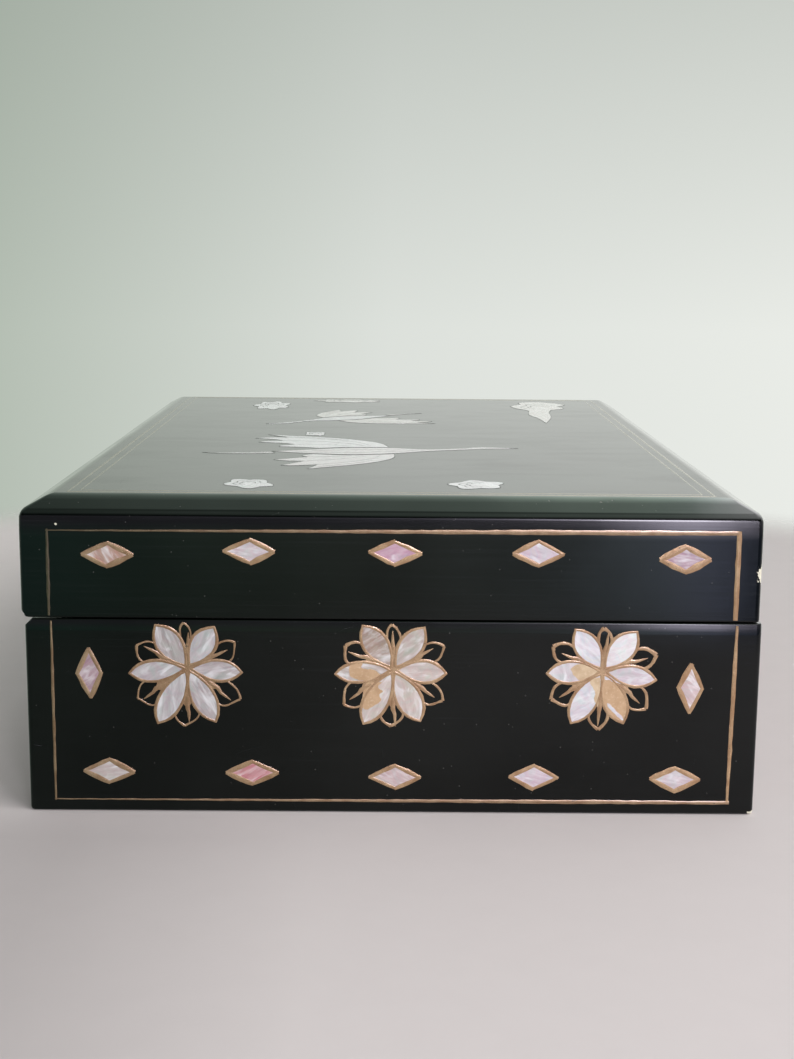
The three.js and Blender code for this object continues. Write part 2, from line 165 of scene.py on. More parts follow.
def ramp_of(tree, factor, stops):
    """A colour that runs through stops, each a position from 0 to 1 and a colour or a grey."""
    made = add(tree, "ValToRGB", {"Fac": factor})
    elements = made.color_ramp.elements
    while len(elements) < len(stops):
        elements.new(0.5)
    for element, (position, value) in zip(elements, stops):
        element.position = position
        element.color = (*(value if isinstance(value, tuple) else (value,) * 3), 1)
    return made.outputs["Color"]


def noise(tree, place, scale, detail=2, roughness=0.5, distortion=0.0):
    made = add(tree, "TexNoise", {
        "Vector": place, "Scale": scale, "Detail": detail, "Roughness": roughness, "Distortion": distortion,
    })
    return made.outputs["Fac"]


def place_on_object(tree):
    return add(tree, "TexCoord").outputs["Object"]


def stretched(tree, place, scale):
    return add(tree, "Mapping", {"Vector": place, "Scale": scale}).outputs[0]


def new_material(name):
    material = bpy.data.materials.new(name)
    material.use_nodes = True
    material.node_tree.nodes.clear()
    return material, material.node_tree


def linked(name, made):
    """A Blender object that takes over a bmesh."""
    result = bpy.data.objects.new(name, bpy.data.meshes.new(name))
    made.to_mesh(result.data)
    made.free()
    scene.collection.objects.link(result)
    return result


wall_left = (0.42, 0.48, 0.41)
wall_middle = (0.72, 0.75, 0.71)
wall_right = (0.82, 0.84, 0.80)
wall_foot = (0.2, 0.24, 0.2)
wall_in_gloss = (1.17, 1.395)
# The ceiling, from left to right, as a share of ceiling_strength
ceiling_strength = 5.0
ceiling_stops = (
    (0.06, (0.07, 0.095, 0.08)), (0.20, (0.122, 0.156, 0.132)), (0.39, (0.149, 0.190, 0.162)),
    (0.61, (0.190, 0.240, 0.205)), (0.754, (0.346, 0.434, 0.369)), (0.826, (0.358, 0.451, 0.384)),
    (0.88, (0.330, 0.410, 0.365)), (0.912, (0.62, 0.71, 0.67)), (0.95, (1.0, 1.0, 1.0)),
)
# The room behind the camera, from left to right, as a share of room_strength
room_strength = 3.0
room_edge = 0.25
room_stops = (
    (0.08, (0.047, 0.100, 0.083)), (0.26, (0.105, 0.150, 0.118)), (0.50, (0.145, 0.158, 0.142)),
    (0.70, (0.172, 0.190, 0.186)), (0.84, (0.420, 0.490, 0.560)), (0.915, (0.560, 0.600, 0.860)),
    (0.955, (0.045, 0.055, 0.090)),
)
# The bright window over there, which only edges that lean back reflect. It is brighter above than below.
window_colour = (14.4, 13.4, 16.5)
window_below = (
    (0.10, 0.02), (0.50, 0.027), (0.608, 0.031), (0.70, 0.048), (0.754, 0.066), (0.80, 0.20), (0.826, 0.40),
    (0.88, 1.0), (0.91, 1.0), (0.931, 0.37), (0.955, 0.05),
)
window_above = (
    (0.10, 0.01), (0.39, 0.026), (0.50, 0.03), (0.608, 0.055), (0.70, 0.20), (0.754, 0.40), (0.826, 0.45),
    (0.88, 0.85), (0.91, 0.90), (0.931, 0.09), (0.955, 0.02),
)
above_to_below = 2.07
sky_light = (0.95, 1.0, 0.97)
sky_strength = 0.40

world = bpy.data.worlds.new("room")
world.use_nodes = True
scene.world = world
tree = world.node_tree
tree.nodes.clear()
direction = add(tree, "SeparateXYZ", {"Vector": add(tree, "TexCoord").outputs["Generated"]})
across, depth, up = (direction.outputs[axis] for axis in "XYZ")
from_left = ranged(tree, across, -room_edge, room_edge)
path = add(tree, "LightPath").outputs

wall = mixed(tree, ranged(tree, across, -0.28, 0.0), wall_left, wall_middle)
wall = mixed(tree, ranged(tree, across, 0.0, 0.26), wall, wall_right)
shaded = mixed(tree, ranged(tree, up, -0.05, 0.16, 0.0, 0.38), wall, wall_foot)

ceiling_light = ranged(tree, up, 0.96, 1.0, ceiling_strength, 0.4 * ceiling_strength)
high = toned(tree, ramp_of(tree, from_left, ceiling_stops), ceiling_light)
wall = toned(tree, wall, ranged(tree, up, 0.12, 0.22, *wall_in_gloss))
mirrored = mixed(tree, ranged(tree, up, 0.16, 0.6), wall, high)

room_light = ranged(tree, up, -0.235, -0.165, 0.92 * room_strength, 1.2 * room_strength)
room = toned(tree, ramp_of(tree, from_left, room_stops), room_light)
above = toned(tree, ramp_of(tree, from_left, window_above), (above_to_below,) * 3)
window = mixed(tree, ranged(tree, up, 0.17, 0.26), ramp_of(tree, from_left, window_below), above)
room = mixed(tree, ranged(tree, up, -0.12, 0.10), room, toned(tree, window, window_colour))
room = toned(tree, room, ranged(tree, up, 0.40, 0.47, 1.0, 0.012))
room = mixed(tree, ranged(tree, up, 0.60, 0.80, 0.0, 0.85), room, high)
mirrored = mixed(tree, ranged(tree, depth, 0.2, -0.3), mirrored, room)

seen = mixed(tree, path["Is Camera Ray"], mirrored, shaded)
shown = math_of(tree, "MAXIMUM", path["Is Camera Ray"], path["Is Glossy Ray"])
shown = math_of(tree, "MAXIMUM", shown, path["Is Transmission Ray"])
lighting = add(tree, "Background", {"Color": (*sky_light, 1), "Strength": sky_strength})
backdrop = add(tree, "Background", {"Color": seen, "Strength": 1.0})
either = add(tree, "MixShader", {0: shown, 1: lighting.outputs[0], 2: backdrop.outputs[0]})
add(tree, "OutputWorld", {"Surface": either.outputs[0]})

floor_colour = (0.74, 0.68, 0.67)
floor_radius = 0.50
floor_drop = 0.05 * mm
# How much of the floor's colour the box reflects, from left to right: painted shade that darkens the mirrored
# floor on the left
painted_floor_shade_in_gloss = ((0.05, (0.42, 0.56, 0.48)), (0.50, (0.76, 0.78, 0.77)), (0.85, (0.96, 0.97, 1.0)))
fade_from = 0.34
fade_to = 0.44

floor_material, tree = new_material("pale_floor")
place = place_on_object(tree)
colour = mixed(tree, noise(tree, place, 90, 4), [0.96 * part for part in floor_colour], floor_colour)
# Painted shade on the floor in front of the box's left end, and painted light on the floor beside it on the
# left.
spot = add(tree, "SeparateXYZ", {"Vector": place}).outputs
painted_shade_in_front = ranged(tree, spot["X"], -0.085, -0.02, 0.74, 1.0)
painted_light_beside = ranged(tree, spot["X"], -0.13, -0.10, 1.3, 1.0)
colour = toned(tree, colour, ranged(tree, spot["Y"], -0.17, -0.13, painted_shade_in_front, painted_light_beside))
gloss = toned(tree, colour, ramp_of(tree, ranged(tree, spot["X"], -0.15, 0.15), painted_floor_shade_in_gloss))
colour = mixed(tree, add(tree, "LightPath").outputs["Is Camera Ray"], gloss, colour)
matt = add(tree, "BsdfPrincipled", {"Base Color": colour, "Roughness": 0.9})
distance = vector_of(tree, "LENGTH", {0: place}, "Value")
fade = ranged(tree, distance, fade_from, fade_to, smooth=True)
clear = add(tree, "BsdfTransparent")
either = add(tree, "MixShader", {0: fade, 1: matt.outputs[0], 2: clear.outputs[0]})
add(tree, "OutputMaterial", {"Surface": either.outputs[0]})

made = bmesh.new()
bmesh.ops.create_circle(made, cap_ends=True, segments=96, radius=floor_radius)
floor = linked("pale_floor", made)
floor.data.materials.append(floor_material)
floor.location.z = -floor_drop


def soft_light(name, place, aim, width, height, watts, colour, reflected=True):
    light = bpy.data.lights.new(name, "AREA")
    light.shape = "RECTANGLE"
    light.size = width
    light.size_y = height
    light.energy = watts
    light.color = colour
    lamp = bpy.data.objects.new(name, light)
    lamp.location = place
    lamp.rotation_mode = "QUATERNION"
    lamp.rotation_quaternion = (Vector(aim) - Vector(place)).to_track_quat("-Z", "Y")
    lamp.visible_glossy = reflected
    scene.collection.objects.link(lamp)


box_middle = (0, 0, 0.05)
pane = (0.97, 0.94, 1.0)
soft_light("window_near_pane", (0.272, -1.22, 0.45), box_middle, 0.116, 0.28, 1.9, pane)
soft_light("window_far_pane", (0.66, -1.10, 0.36), box_middle, 0.40, 0.42, 7, pane, False)
soft_light("daylight_from_the_right", (0.85, -0.55, 0.95), (0, 0, 0), 0.7, 0.7, 7, (1.0, 0.99, 1.0), False)


# Base of the box. Four boards and a floor of wood, glued at rabbeted corners and covered in black lacquer
# inside and out, so that no joint shows. The back board's rim is chamfered, and cut away for the two hinges.
box_width = 200
box_length = 300
rim_of_base = 54.75
rim_of_lid = 55.05
board = 9
floor_board = 8
corner_round = 1.5
foot_round = 1.0
rim_round = 0.5
hinge_rim_round = 1.5
base_chamfer = 2.1
chamfer_stop = 0.1
rubbed_height = 2.4
rubbed_depth = 0.32
rubbed_round = 1.0
inner_rim_round = 0.5
floor_panel_inset = 5
floor_joint = 0.3
round_steps = 6
half_width = box_width / 2
half_length = box_length / 2
pin_line = Vector((-99, 0, 55))
hinge_places = (-95, 95)
barrel_radius = 2.25
barrel_room = 0.35
barrel_end_room = 1.5
leaf_length = 25
leaf_reach = 7
leaf_thickness = 1
leaf_room = 0.1


def block(low, high):
    """A rectangular blank between two corners, in millimetres."""
    low, high = Vector(low), Vector(high)
    made = bmesh.new()
    bmesh.ops.create_cube(made, size=1)
    bmesh.ops.scale(made, vec=high - low, verts=made.verts)
    bmesh.ops.translate(made, vec=(low + high) / 2, verts=made.verts)
    return made


def rod(radius, length, middle, segments=48):
    """A round bar along Y."""
    made = bmesh.new()
    ends = {"radius1": radius, "radius2": radius}
    bmesh.ops.create_cone(made, cap_ends=True, segments=segments, depth=length, **ends)
    bmesh.ops.rotate(made, matrix=Matrix.Rotation(math.pi / 2, 3, "X"), verts=made.verts)
    bmesh.ops.translate(made, vec=middle, verts=made.verts)
    return made


def outermost(made, direction):
    """The face of a blank that lies furthest in a direction."""
    return max(made.faces, key=lambda face: face.calc_center_median().dot(direction))


def raised_and_eased(made, top, height, depth):
    """Raises the top face of a blank, and leans the strip below it back at both ends, as if rubbed."""
    top = bmesh.ops.extrude_discrete_faces(made, faces=[top])["faces"][0]
    bmesh.ops.translate(made, vec=(0, 0, height), verts=top.verts)
    for vert in top.verts:
        vert.co.y -= math.copysign(depth, vert.co.y)
    return top


def hollowed(made, opening, depth):
    """Leaves walls round a face of a blank, and sinks what is inside them by a depth."""
    bmesh.ops.inset_region(made, faces=[opening], thickness=board, use_even_offset=True)
    for vert in opening.verts:
        vert.co.x = math.copysign(half_width - board, vert.co.x)
        vert.co.y = math.copysign(half_length - board, vert.co.y)
    sunk = bmesh.ops.extrude_discrete_faces(made, faces=[opening])["faces"][0]
    bmesh.ops.translate(made, vec=(0, 0, depth), verts=sunk.verts)


def thing(name, made):
    """A Blender object from a bmesh in millimetres."""
    bmesh.ops.scale(made, vec=(mm, mm, mm), verts=made.verts)
    return linked(name, made)


def with_modifier(piece, kind, **settings):
    """Adds a modifier and applies it at once."""
    modifier = piece.modifiers.new(kind.lower(), kind)
    for key, value in settings.items():
        setattr(modifier, key, value)
    graph = bpy.context.evaluated_depsgraph_get()
    finished = bpy.data.meshes.new_from_object(piece.evaluated_get(graph))
    piece.modifiers.remove(modifier)
    old = piece.data
    piece.data = finished
    bpy.data.meshes.remove(old)
    finished.name = piece.name


def cut(piece, *tools, operation="DIFFERENCE"):
    """Takes tools away from a piece, or joins them to it."""
    for made in tools:
        tool = thing("tool", made)
        with_modifier(piece, "BOOLEAN", operation=operation, object=tool, solver="EXACT")
        bpy.data.objects.remove(tool)


def rounded_edges(piece, radius_at, segments=round_steps):
    """Rounds each edge by the number of millimetres that radius_at gives for it."""
    widest = 3
    made = bmesh.new()
    made.from_mesh(piece.data)
    weight = made.edges.layers.float.new("bevel_weight_edge")
    for edge in made.edges:
        a, b = (vert.co / mm for vert in edge.verts)
        edge[weight] = radius_at((a + b) / 2, (b - a).normalized()) / widest
    made.to_mesh(piece.data)
    made.free()
    with_modifier(
        piece, "BEVEL", width=widest * mm, segments=segments, limit_method="WEIGHT", use_clamp_overlap=True,
        miter_outer="MITER_SHARP",
    )


def smooth_faces(piece, sharp_from=50, flats=True):
    """Smooth shading that leaves edges past an angle sharp and, where a piece has flats, keeps them flat."""
    for polygon in piece.data.polygons:
        polygon.use_smooth = True
    piece.data.set_sharp_from_angle(angle=math.radians(sharp_from))
    if flats:
        with_modifier(piece, "WEIGHTED_NORMAL", keep_sharp=True, weight=80)


def belongs(piece, body, material, replaced=()):
    """Gives a piece its material and body, and hides the nodes that it stands for."""
    if not piece.data.materials:
        piece.data.materials.append(material)
    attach(piece, body)
    if replaced:
        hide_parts(*replaced)


def mark_arrises(piece, narrow=1.2):
    """Stores 1 at the points of a rounded edge that have only narrow faces round them, and 0 elsewhere."""
    made = bmesh.new()
    made.from_mesh(piece.data)
    arris = made.verts.layers.float.new("arris")
    for vert in made.verts:
        widest = 0
        for face in vert.link_faces:
            widest = max(widest, face.calc_area() / max(edge.calc_length() for edge in face.edges))
        vert[arris] = 1.0 if widest < narrow * mm else 0.0
    made.to_mesh(piece.data)
    made.free()


def hinge_cuts():
    """The room for both hinges: a notch round each barrel and a mortise for its leaves."""
    cuts = []
    for y in hinge_places:
        middle = pin_line + Vector((0, y, 0))
        cuts.append(rod(barrel_radius + barrel_room, leaf_length + barrel_end_room, middle))
        start, end = y - leaf_length / 2 - leaf_room, y + leaf_length / 2 + leaf_room
        low = (pin_line.x, start, pin_line.z - leaf_thickness - barrel_room)
        high = (pin_line.x + leaf_reach + leaf_room, end, pin_line.z + leaf_thickness + barrel_room)
        cuts.append(block(low, high))
    return cuts


def back_chamfer(left, rim, size):
    """The tool for a chamfer on the hinge side's rim, where the lid rolls over the base."""
    return rod(size, box_length - 2 * chamfer_stop, Vector((left, 0, rim)), segments=4)


def mask_group(name, **takes):
    """An empty group of shader nodes that gives a mask, with what it takes and the socket of its mask."""
    made = bpy.data.node_groups.new(name, "ShaderNodeTree")
    for title, value in takes.items():
        made.interface.new_socket(title, in_out="INPUT", socket_type="NodeSocketFloat").default_value = value
    made.interface.new_socket("mask", in_out="OUTPUT", socket_type="NodeSocketFloat")
    return made, made.nodes.new("NodeGroupInput").outputs, made.nodes.new("NodeGroupOutput").inputs["mask"]


def mask_of(tree, group, **values):
    made = tree.nodes.new("ShaderNodeGroup")
    made.node_tree = group
    for title, value in values.items():
        made.inputs[title].default_value = value
    return made.outputs["mask"]


def attribute(tree, name, output="Color"):
    return add(tree, "Attribute", attribute_name=name).outputs[output]


def relief(tree, height, strength, distance):
    """A bump, with its distance in millimetres."""
    return add(tree, "Bump", {"Height": height, "Strength": strength, "Distance": distance * mm}).outputs[0]


def surface(tree, colour, rough, bump=None, **others):
    """Ends a material with its shader."""
    inputs = {"Base Color": colour, "Roughness": rough, **({"Normal": bump} if bump else {})}
    inputs.update({title.replace("_", " "): value for title, value in others.items()})
    shader = add(tree, "BsdfPrincipled", inputs)
    add(tree, "OutputMaterial", {"Surface": shader.outputs[0]})


# Fine scratches: thin lines that run in many directions, here and there
scratches, taken, mask = mask_group("scratches", scale=60.0, width=0.02, amount=0.3)
place = place_on_object(scratches)
bend = add(scratches, "TexNoise", {"Vector": place, "Scale": 40, "Detail": 2}).outputs["Color"]
bent = vector_of(scratches, "ADD", {0: place, 1: vector_of(scratches, "SCALE", {0: bend, "Scale": 0.02})})
lines = add(scratches, "TexVoronoi", {"Vector": bent, "Scale": taken["scale"]}, feature="DISTANCE_TO_EDGE")
thin = math_of(scratches, "LESS_THAN", lines.outputs["Distance"], taken["width"])
least = math_of(scratches, "SUBTRACT", 1.0, taken["amount"])
where = math_of(scratches, "GREATER_THAN", noise(scratches, place, 70, 3), least)
feed(scratches, mask, math_of(scratches, "MULTIPLY", thin, where))

# Dust: small pale specks
dust, taken, mask = mask_group("dust", scale=500.0, amount=0.1)
cells = add(dust, "TexVoronoi", {"Vector": place_on_object(dust), "Scale": taken["scale"]}).outputs
near = ranged(dust, cells["Distance"], 0.10, 0.18, 1.0, 0.0)
chosen = add(dust, "SeparateColor", {"Color": cells["Color"]}).outputs["Red"]
chosen = math_of(dust, "LESS_THAN", chosen, taken["amount"])
feed(dust, mask, math_of(dust, "MULTIPLY", near, chosen))

# A chip in the lacquer: a small patch with a ragged edge, given by its middle and half sizes in millimetres
chip, taken, mask = mask_group("chip", x=0.0, y=0.0, z=0.0, across=1.0, along=1.0, up=1.0)
place = vector_of(chip, "SCALE", {0: place_on_object(chip), "Scale": 1 / mm})
middle = add(chip, "CombineXYZ", {"X": taken["x"], "Y": taken["y"], "Z": taken["z"]}).outputs[0]
sizes = add(chip, "CombineXYZ", {"X": taken["across"], "Y": taken["along"], "Z": taken["up"]}).outputs[0]
away = vector_of(chip, "SUBTRACT", {0: place, 1: middle})
away = vector_of(chip, "LENGTH", {0: vector_of(chip, "DIVIDE", {0: away, 1: sizes})}, "Value")
away = math_of(chip, "ADD", away, ranged(chip, noise(chip, place, 1.6, 3), 0.3, 0.7, -0.5, 0.5))
feed(chip, mask, ranged(chip, away, 0.9, 1.0, 1.0, 0.0))


def lacquer_material(name, chips):
    """Black lacquer rubbed to a soft gloss, with polish lines, ripples, scratches, dust and worn arrises."""
    black = (0.0012, 0.0014, 0.0013)
    greener = (0.0018, 0.0030, 0.0024)
    polished = (0.006, 0.007, 0.007)
    scratch_grey = (0.25, 0.27, 0.26)
    dust_grey = (0.55, 0.53, 0.50)
    undercoat = (0.16, 0.145, 0.12)
    putty = (0.70, 0.67, 0.54)
    lacquer, tree = new_material(name)
    place = place_on_object(tree)
    polish = noise(tree, stretched(tree, place, (25, 25, 2400)), 1, 4, 0.6)
    clouds = noise(tree, place, 22, 3)
    ripple = noise(tree, place, 75)
    peel = noise(tree, place, 900)
    scratched = mask_of(tree, scratches, scale=55, width=0.0022, amount=0.34)
    dusty = mask_of(tree, dust, scale=900, amount=0.035)
    chipping = ranged(tree, noise(tree, place, 260, 5, 0.7), 0.69, 0.74)
    worn = math_of(tree, "MULTIPLY", ranged(tree, attribute(tree, "arris", "Fac"), 0.45, 0.95), chipping)
    pale = 0.0
    for numbers in chips:
        pale = math_of(tree, "MAXIMUM", pale, mask_of(tree, chip, **numbers))
    bare = math_of(tree, "MAXIMUM", worn, pale)
    colour = veiled(
        tree, mixed(tree, clouds, black, greener), (polish, 0.52, 0.75, 0.6, polished),
        (scratched, 0, 1, 0.015, scratch_grey), (dusty, 0, 1, 0.12, dust_grey), (worn, 0, 1, 0.75, undercoat),
        (pale, 0, 1, 1, putty),
    )
    lines, patches = ranged(tree, polish, 0.3, 0.7, 0.07, 0.13), ranged(tree, clouds, 0.3, 0.7, -0.01, 0.03)
    rough = summed(tree, (lines, 1), (patches, 1), (scratched, 0.18), (bare, 0.5))
    hazy = noise(tree, stretched(tree, place, (22, 60, 60)), 1, 5, 0.62, 0.8)
    facing_up = add(tree, "SeparateXYZ", {"Vector": add(tree, "TexCoord").outputs["Normal"]}).outputs["Z"]
    facing_up = ranged(tree, facing_up, 0.90, 0.98)
    hazy = math_of(tree, "MULTIPLY", ranged(tree, hazy, 0.44, 0.66, 0.0, 0.16), facing_up)
    gloss = math_of(tree, "SUBTRACT", ranged(tree, clouds, 0.3, 0.7, 0.44, 0.60), hazy)
    height = summed(tree, (polish, 0.30), (ripple, 1.6), (peel, 0.08), (scratched, -0.6), (bare, -2.0))
    surface(tree, colour, rough, relief(tree, height, 1.0, 0.012), IOR=1.38, Specular_IOR_Level=gloss)
    return lacquer


base_lacquer = lacquer_material("black_lacquer_base", [
    {"x": 100.8, "y": -149.5, "z": 0.6, "across": 1.6, "along": 1.6, "up": 0.5},
])

base_left, base_right = -100.35, 101.05
straight_up = Vector((0, 0, 1))
carcass = block((base_left, -half_length, 0), (base_right, half_length, rim_of_base - rubbed_height))
opening = raised_and_eased(carcass, outermost(carcass, straight_up), rubbed_height, rubbed_depth)
hollowed(carcass, opening, floor_board - rim_of_base)
underside = outermost(carcass, -straight_up)
bmesh.ops.inset_region(carcass, faces=[underside], thickness=floor_panel_inset)
for depth in (-floor_joint, floor_joint):
    bmesh.ops.inset_region(carcass, faces=[underside], thickness=floor_joint / 2, depth=depth)


slack = 0.1
side_slack = 0.5


def base_roundings(middle, along):
    outside = abs(middle.x) > half_width - side_slack or abs(middle.y) > half_length - side_slack
    if not outside:
        return inner_rim_round if middle.z > rim_of_base - slack and abs(along.z) < 0.1 else 0
    if abs(along.z) > 0.9:
        return corner_round
    if middle.z < slack:
        return foot_round
    if middle.z < rim_of_base - rubbed_height + slack:
        return rubbed_round if abs(along.x) > 0.9 else 0
    return hinge_rim_round if middle.x < -half_width + side_slack else rim_round


base_shell = thing("base_carcass", carcass)
rounded_edges(base_shell, base_roundings)
mark_arrises(base_shell)
cut(base_shell, *hinge_cuts(), back_chamfer(base_left, rim_of_base, base_chamfer))
smooth_faces(base_shell)
belongs(
    base_shell, "base", base_lacquer,
    ("base_front_board", "base_back_board", "base_left_end", "base_right_end", "base_floor"),
)


# Lid of the box. Four boards and a top panel with a low sloping border, lacquered as the base is, with a
# chamfer along its rim on the hinge side. A fine gap shows all round where it rests above the base.
shoulder = 84.3
box_height = 88
border = 7.07
ceiling = 76
shoulder_round = 1.5
side_shoulder_round = 1.6
flat_round = 2.6
side_flat_round = 1.4
mitre_round = 0.9
lid_chamfer = 2.0
eased_height = 4.7
eased_depth = 0.70
eased_round = 2.2
lid_lacquer = lacquer_material("black_lacquer_lid", [
    {"x": 100.1, "y": -149.0, "z": 68.2, "across": 1.3, "along": 1.6, "up": 2.4},
    {"x": -91.0, "y": -149.8, "z": 80.9, "across": 0.34, "along": 0.5, "up": 0.26},
])

lid_left, lid_right = -101.2, 100.3
carcass = block((lid_left, -half_length, rim_of_lid), (lid_right, half_length, shoulder - eased_height))
roof = raised_and_eased(carcass, outermost(carcass, straight_up), eased_height, eased_depth)
bmesh.ops.inset_region(carcass, faces=[roof], thickness=border, use_even_offset=True)
bmesh.ops.translate(carcass, vec=(0, 0, box_height - shoulder), verts=roof.verts)
hollowed(carcass, outermost(carcass, -straight_up), ceiling - rim_of_lid)


def lid_roundings(middle, along):
    outside = abs(middle.x) > half_width - 2 * side_slack or abs(middle.y) > half_length - 2 * side_slack
    if middle.z > box_height - slack:
        return flat_round if abs(along.x) > 0.9 else side_flat_round
    if middle.z > shoulder + slack:
        return mitre_round
    if not outside:
        return inner_rim_round if middle.z < rim_of_lid + slack and abs(along.z) < 0.1 else 0
    if abs(along.z) > 0.9:
        return corner_round
    if middle.z > shoulder - slack:
        return shoulder_round if abs(along.x) > 0.9 else side_shoulder_round
    if middle.z > shoulder - eased_height - slack:
        return eased_round if abs(along.x) > 0.9 else 0
    return hinge_rim_round if middle.x < -half_width + side_slack else rim_round


lid_shell = thing("lid_carcass", carcass)
rounded_edges(lid_shell, lid_roundings)
mark_arrises(lid_shell)
cut(lid_shell, *hinge_cuts(), back_chamfer(lid_left, rim_of_lid, lid_chamfer))
smooth_faces(lid_shell)
belongs(
    lid_shell, "lid", lid_lacquer,
    ("lid_front_board", "lid_back_board", "lid_left_end", "lid_right_end", "lid_panel"),
)


# Shell diamonds. Thin plates of mother-of-pearl let into the lacquer, in rows along the lid and the foot,
# with one upright at each side. Each is cut from its own piece of shell, so tints and streaks differ.
plate_depth = 0.3
plate_edge = 0.03
plate_top = 0.05
shell_sheet = 90
weld_within = 0.0005
chance = random.Random(7)


def astray(most):
    """A seeded error of the hand, up to a most either way."""
    return chance.uniform(-most, most)


def face_plane(across, up, origin):
    """The place of a face: drawings on it are in millimetres, across and up, with the normal outwards."""
    across, up = Vector(across), Vector(up)
    turn = Matrix((across, up, across.cross(up))).transposed().to_4x4()
    return Matrix.Scale(mm, 4) @ Matrix.Translation(origin) @ turn


def upright_faces(left, right):
    return {
        "left_end": face_plane((1, 0, 0), (0, 0, 1), (0, -half_length, 0)),
        "right_end": face_plane((-1, 0, 0), (0, 0, 1), (0, half_length, 0)),
        "front": face_plane((0, 1, 0), (0, 0, 1), (right, 0, 0)),
        "back": face_plane((0, -1, 0), (0, 0, 1), (left, 0, 0)),
    }


faces = {"base": upright_faces(base_left, base_right), "lid": upright_faces(lid_left, lid_right)}
left_end = faces["base"]["left_end"]
flat_of_lid = face_plane((1, 0, 0), (0, 1, 0), (0, 0, box_height))


def smooth_run(places, steps=5):
    """Places joined by a smooth curve."""
    points = [Vector((*place, 0)) for place in places]
    result = [points[0]]
    for i in range(len(points) - 1):
        before = points[max(i - 1, 0)]
        after = points[min(i + 2, len(points) - 1)]
        start, end = points[i], points[i + 1]
        handle = start + (end - before) / 6
        other = end - (after - start) / 6
        result += interpolate_bezier(start, handle, other, end, steps + 1)[1:]
    return result


def mesh_of_curve(curve):
    holder = bpy.data.objects.new("drawing", curve)
    mesh = bpy.data.meshes.new_from_object(holder)
    bpy.data.objects.remove(holder)
    bpy.data.curves.remove(curve)
    return mesh


def poly_spline(curve, points, radii=None, closed=False):
    spline = curve.splines.new("POLY")
    spline.points.add(len(points) - 1)
    for i, point in enumerate(points):
        spline.points[i].co = (point[0], point[1], 0, 1)
        if radii:
            spline.points[i].radius = radii[i]
    spline.use_cyclic_u = closed


def filled(points, depth, edge):
    """A flat plate of an outline, with its edge rounded off."""
    curve = bpy.data.curves.new("plate", "CURVE")
    curve.dimensions = "2D"
    curve.fill_mode = "BOTH"
    curve.extrude = depth / 2 - edge
    curve.bevel_depth = edge
    curve.offset = -edge
    poly_spline(curve, points, closed=True)
    return mesh_of_curve(curve)


class Plates:
    """Plates of one piece. Each keeps its tint, and a map that follows its own grain."""

    def __init__(self, top=plate_top, depth=plate_depth, edge=plate_edge):
        self.made = bmesh.new()
        self.tint = self.made.verts.layers.float_color.new("tint")
        self.grain = self.made.loops.layers.uv.new("grain")
        self.top = top
        self.depth = depth
        self.edge = edge

    def lay(self, points, plane, tint, grain=0.0):
        mesh = filled(points, self.depth, self.edge)
        known_verts, known_faces = len(self.made.verts), len(self.made.faces)
        self.made.from_mesh(mesh)
        bpy.data.meshes.remove(mesh)
        self.made.verts.ensure_lookup_table()
        self.made.faces.ensure_lookup_table()
        offset = Vector((chance.uniform(0, shell_sheet), chance.uniform(0, shell_sheet)))
        turn = Matrix.Rotation(-grain, 2)
        for face in self.made.faces[known_faces:]:
            for loop in face.loops:
                loop[self.grain].uv = turn @ loop.vert.co.xy + offset
        verts = self.made.verts[known_verts:]
        for vert in verts:
            vert[self.tint] = (*tint, 1)
        bmesh.ops.translate(self.made, vec=(0, 0, self.top - self.depth / 2), verts=verts)
        bmesh.ops.transform(self.made, matrix=plane, verts=verts)

    def finished(self, name, body, material, replaced=()):
        bmesh.ops.remove_doubles(self.made, verts=self.made.verts, dist=weld_within * mm)
        bmesh.ops.recalc_face_normals(self.made, faces=self.made.faces)
        belongs(linked(name, self.made), body, material, replaced)


pearl, tree = new_material("mother_of_pearl")
grain_map = add(tree, "UVMap", uv_map="grain").outputs[0]
tint = attribute(tree, "tint")
streaks = noise(tree, stretched(tree, grain_map, (0.10, 0.75, 1)), 1, 5, 0.55, 0.8)
fine_streaks = noise(tree, stretched(tree, grain_map, (0.35, 4.5, 1)), 1, 3, 0.5, 0.4)
drift = noise(tree, grain_map, 0.16, 3, 0.5, 1.5)
flecks = noise(tree, grain_map, 1.1, 4, 0.6)
lustre = noise(tree, stretched(tree, grain_map, (0.16, 0.42, 1)), 1, 2, 0.5, 0.9)
hues = ramp_of(tree, drift, (
    (0.30, (0.80, 1.0, 0.95)), (0.42, (1.0, 0.99, 1.0)), (0.52, (1.0, 0.84, 0.92)),
    (0.62, (0.86, 0.93, 1.0)), (0.74, (1.0, 0.96, 0.84)),
))
colour = mixed(tree, 0.95, tint, hues, "MULTIPLY")
colour = mixed(tree, 0.25, veiled(tree, colour, (streaks, 0.42, 0.75, 0.5, (1.0, 1.0, 1.0))), tint)
# The lustre bands paint sheen into the colour, bright and dark along the grain, over the shell's own figure.
colour = veiled(
    tree, colour,
    (lustre, 0.52, 0.72, 0.60, (0.93, 0.92, 0.95)), (lustre, 0.44, 0.28, 0.20, (0.26, 0.24, 0.24)),
    (streaks, 0.55, 0.30, 0.13, (0.42, 0.41, 0.42)), (fine_streaks, 0.55, 0.75, 0.14, (0.36, 0.35, 0.36)),
    (flecks, 0.60, 0.72, 0.16, (0.66, 0.54, 0.44)),
)
bump = relief(tree, summed(tree, (streaks, 1), (fine_streaks, 0.15)), 0.5, 0.08)
rough = ranged(tree, streaks, 0.3, 0.7, 0.36, 0.20)
surface(tree, colour, rough, bump, Coat_Weight=0.8, Coat_Roughness=0.09)

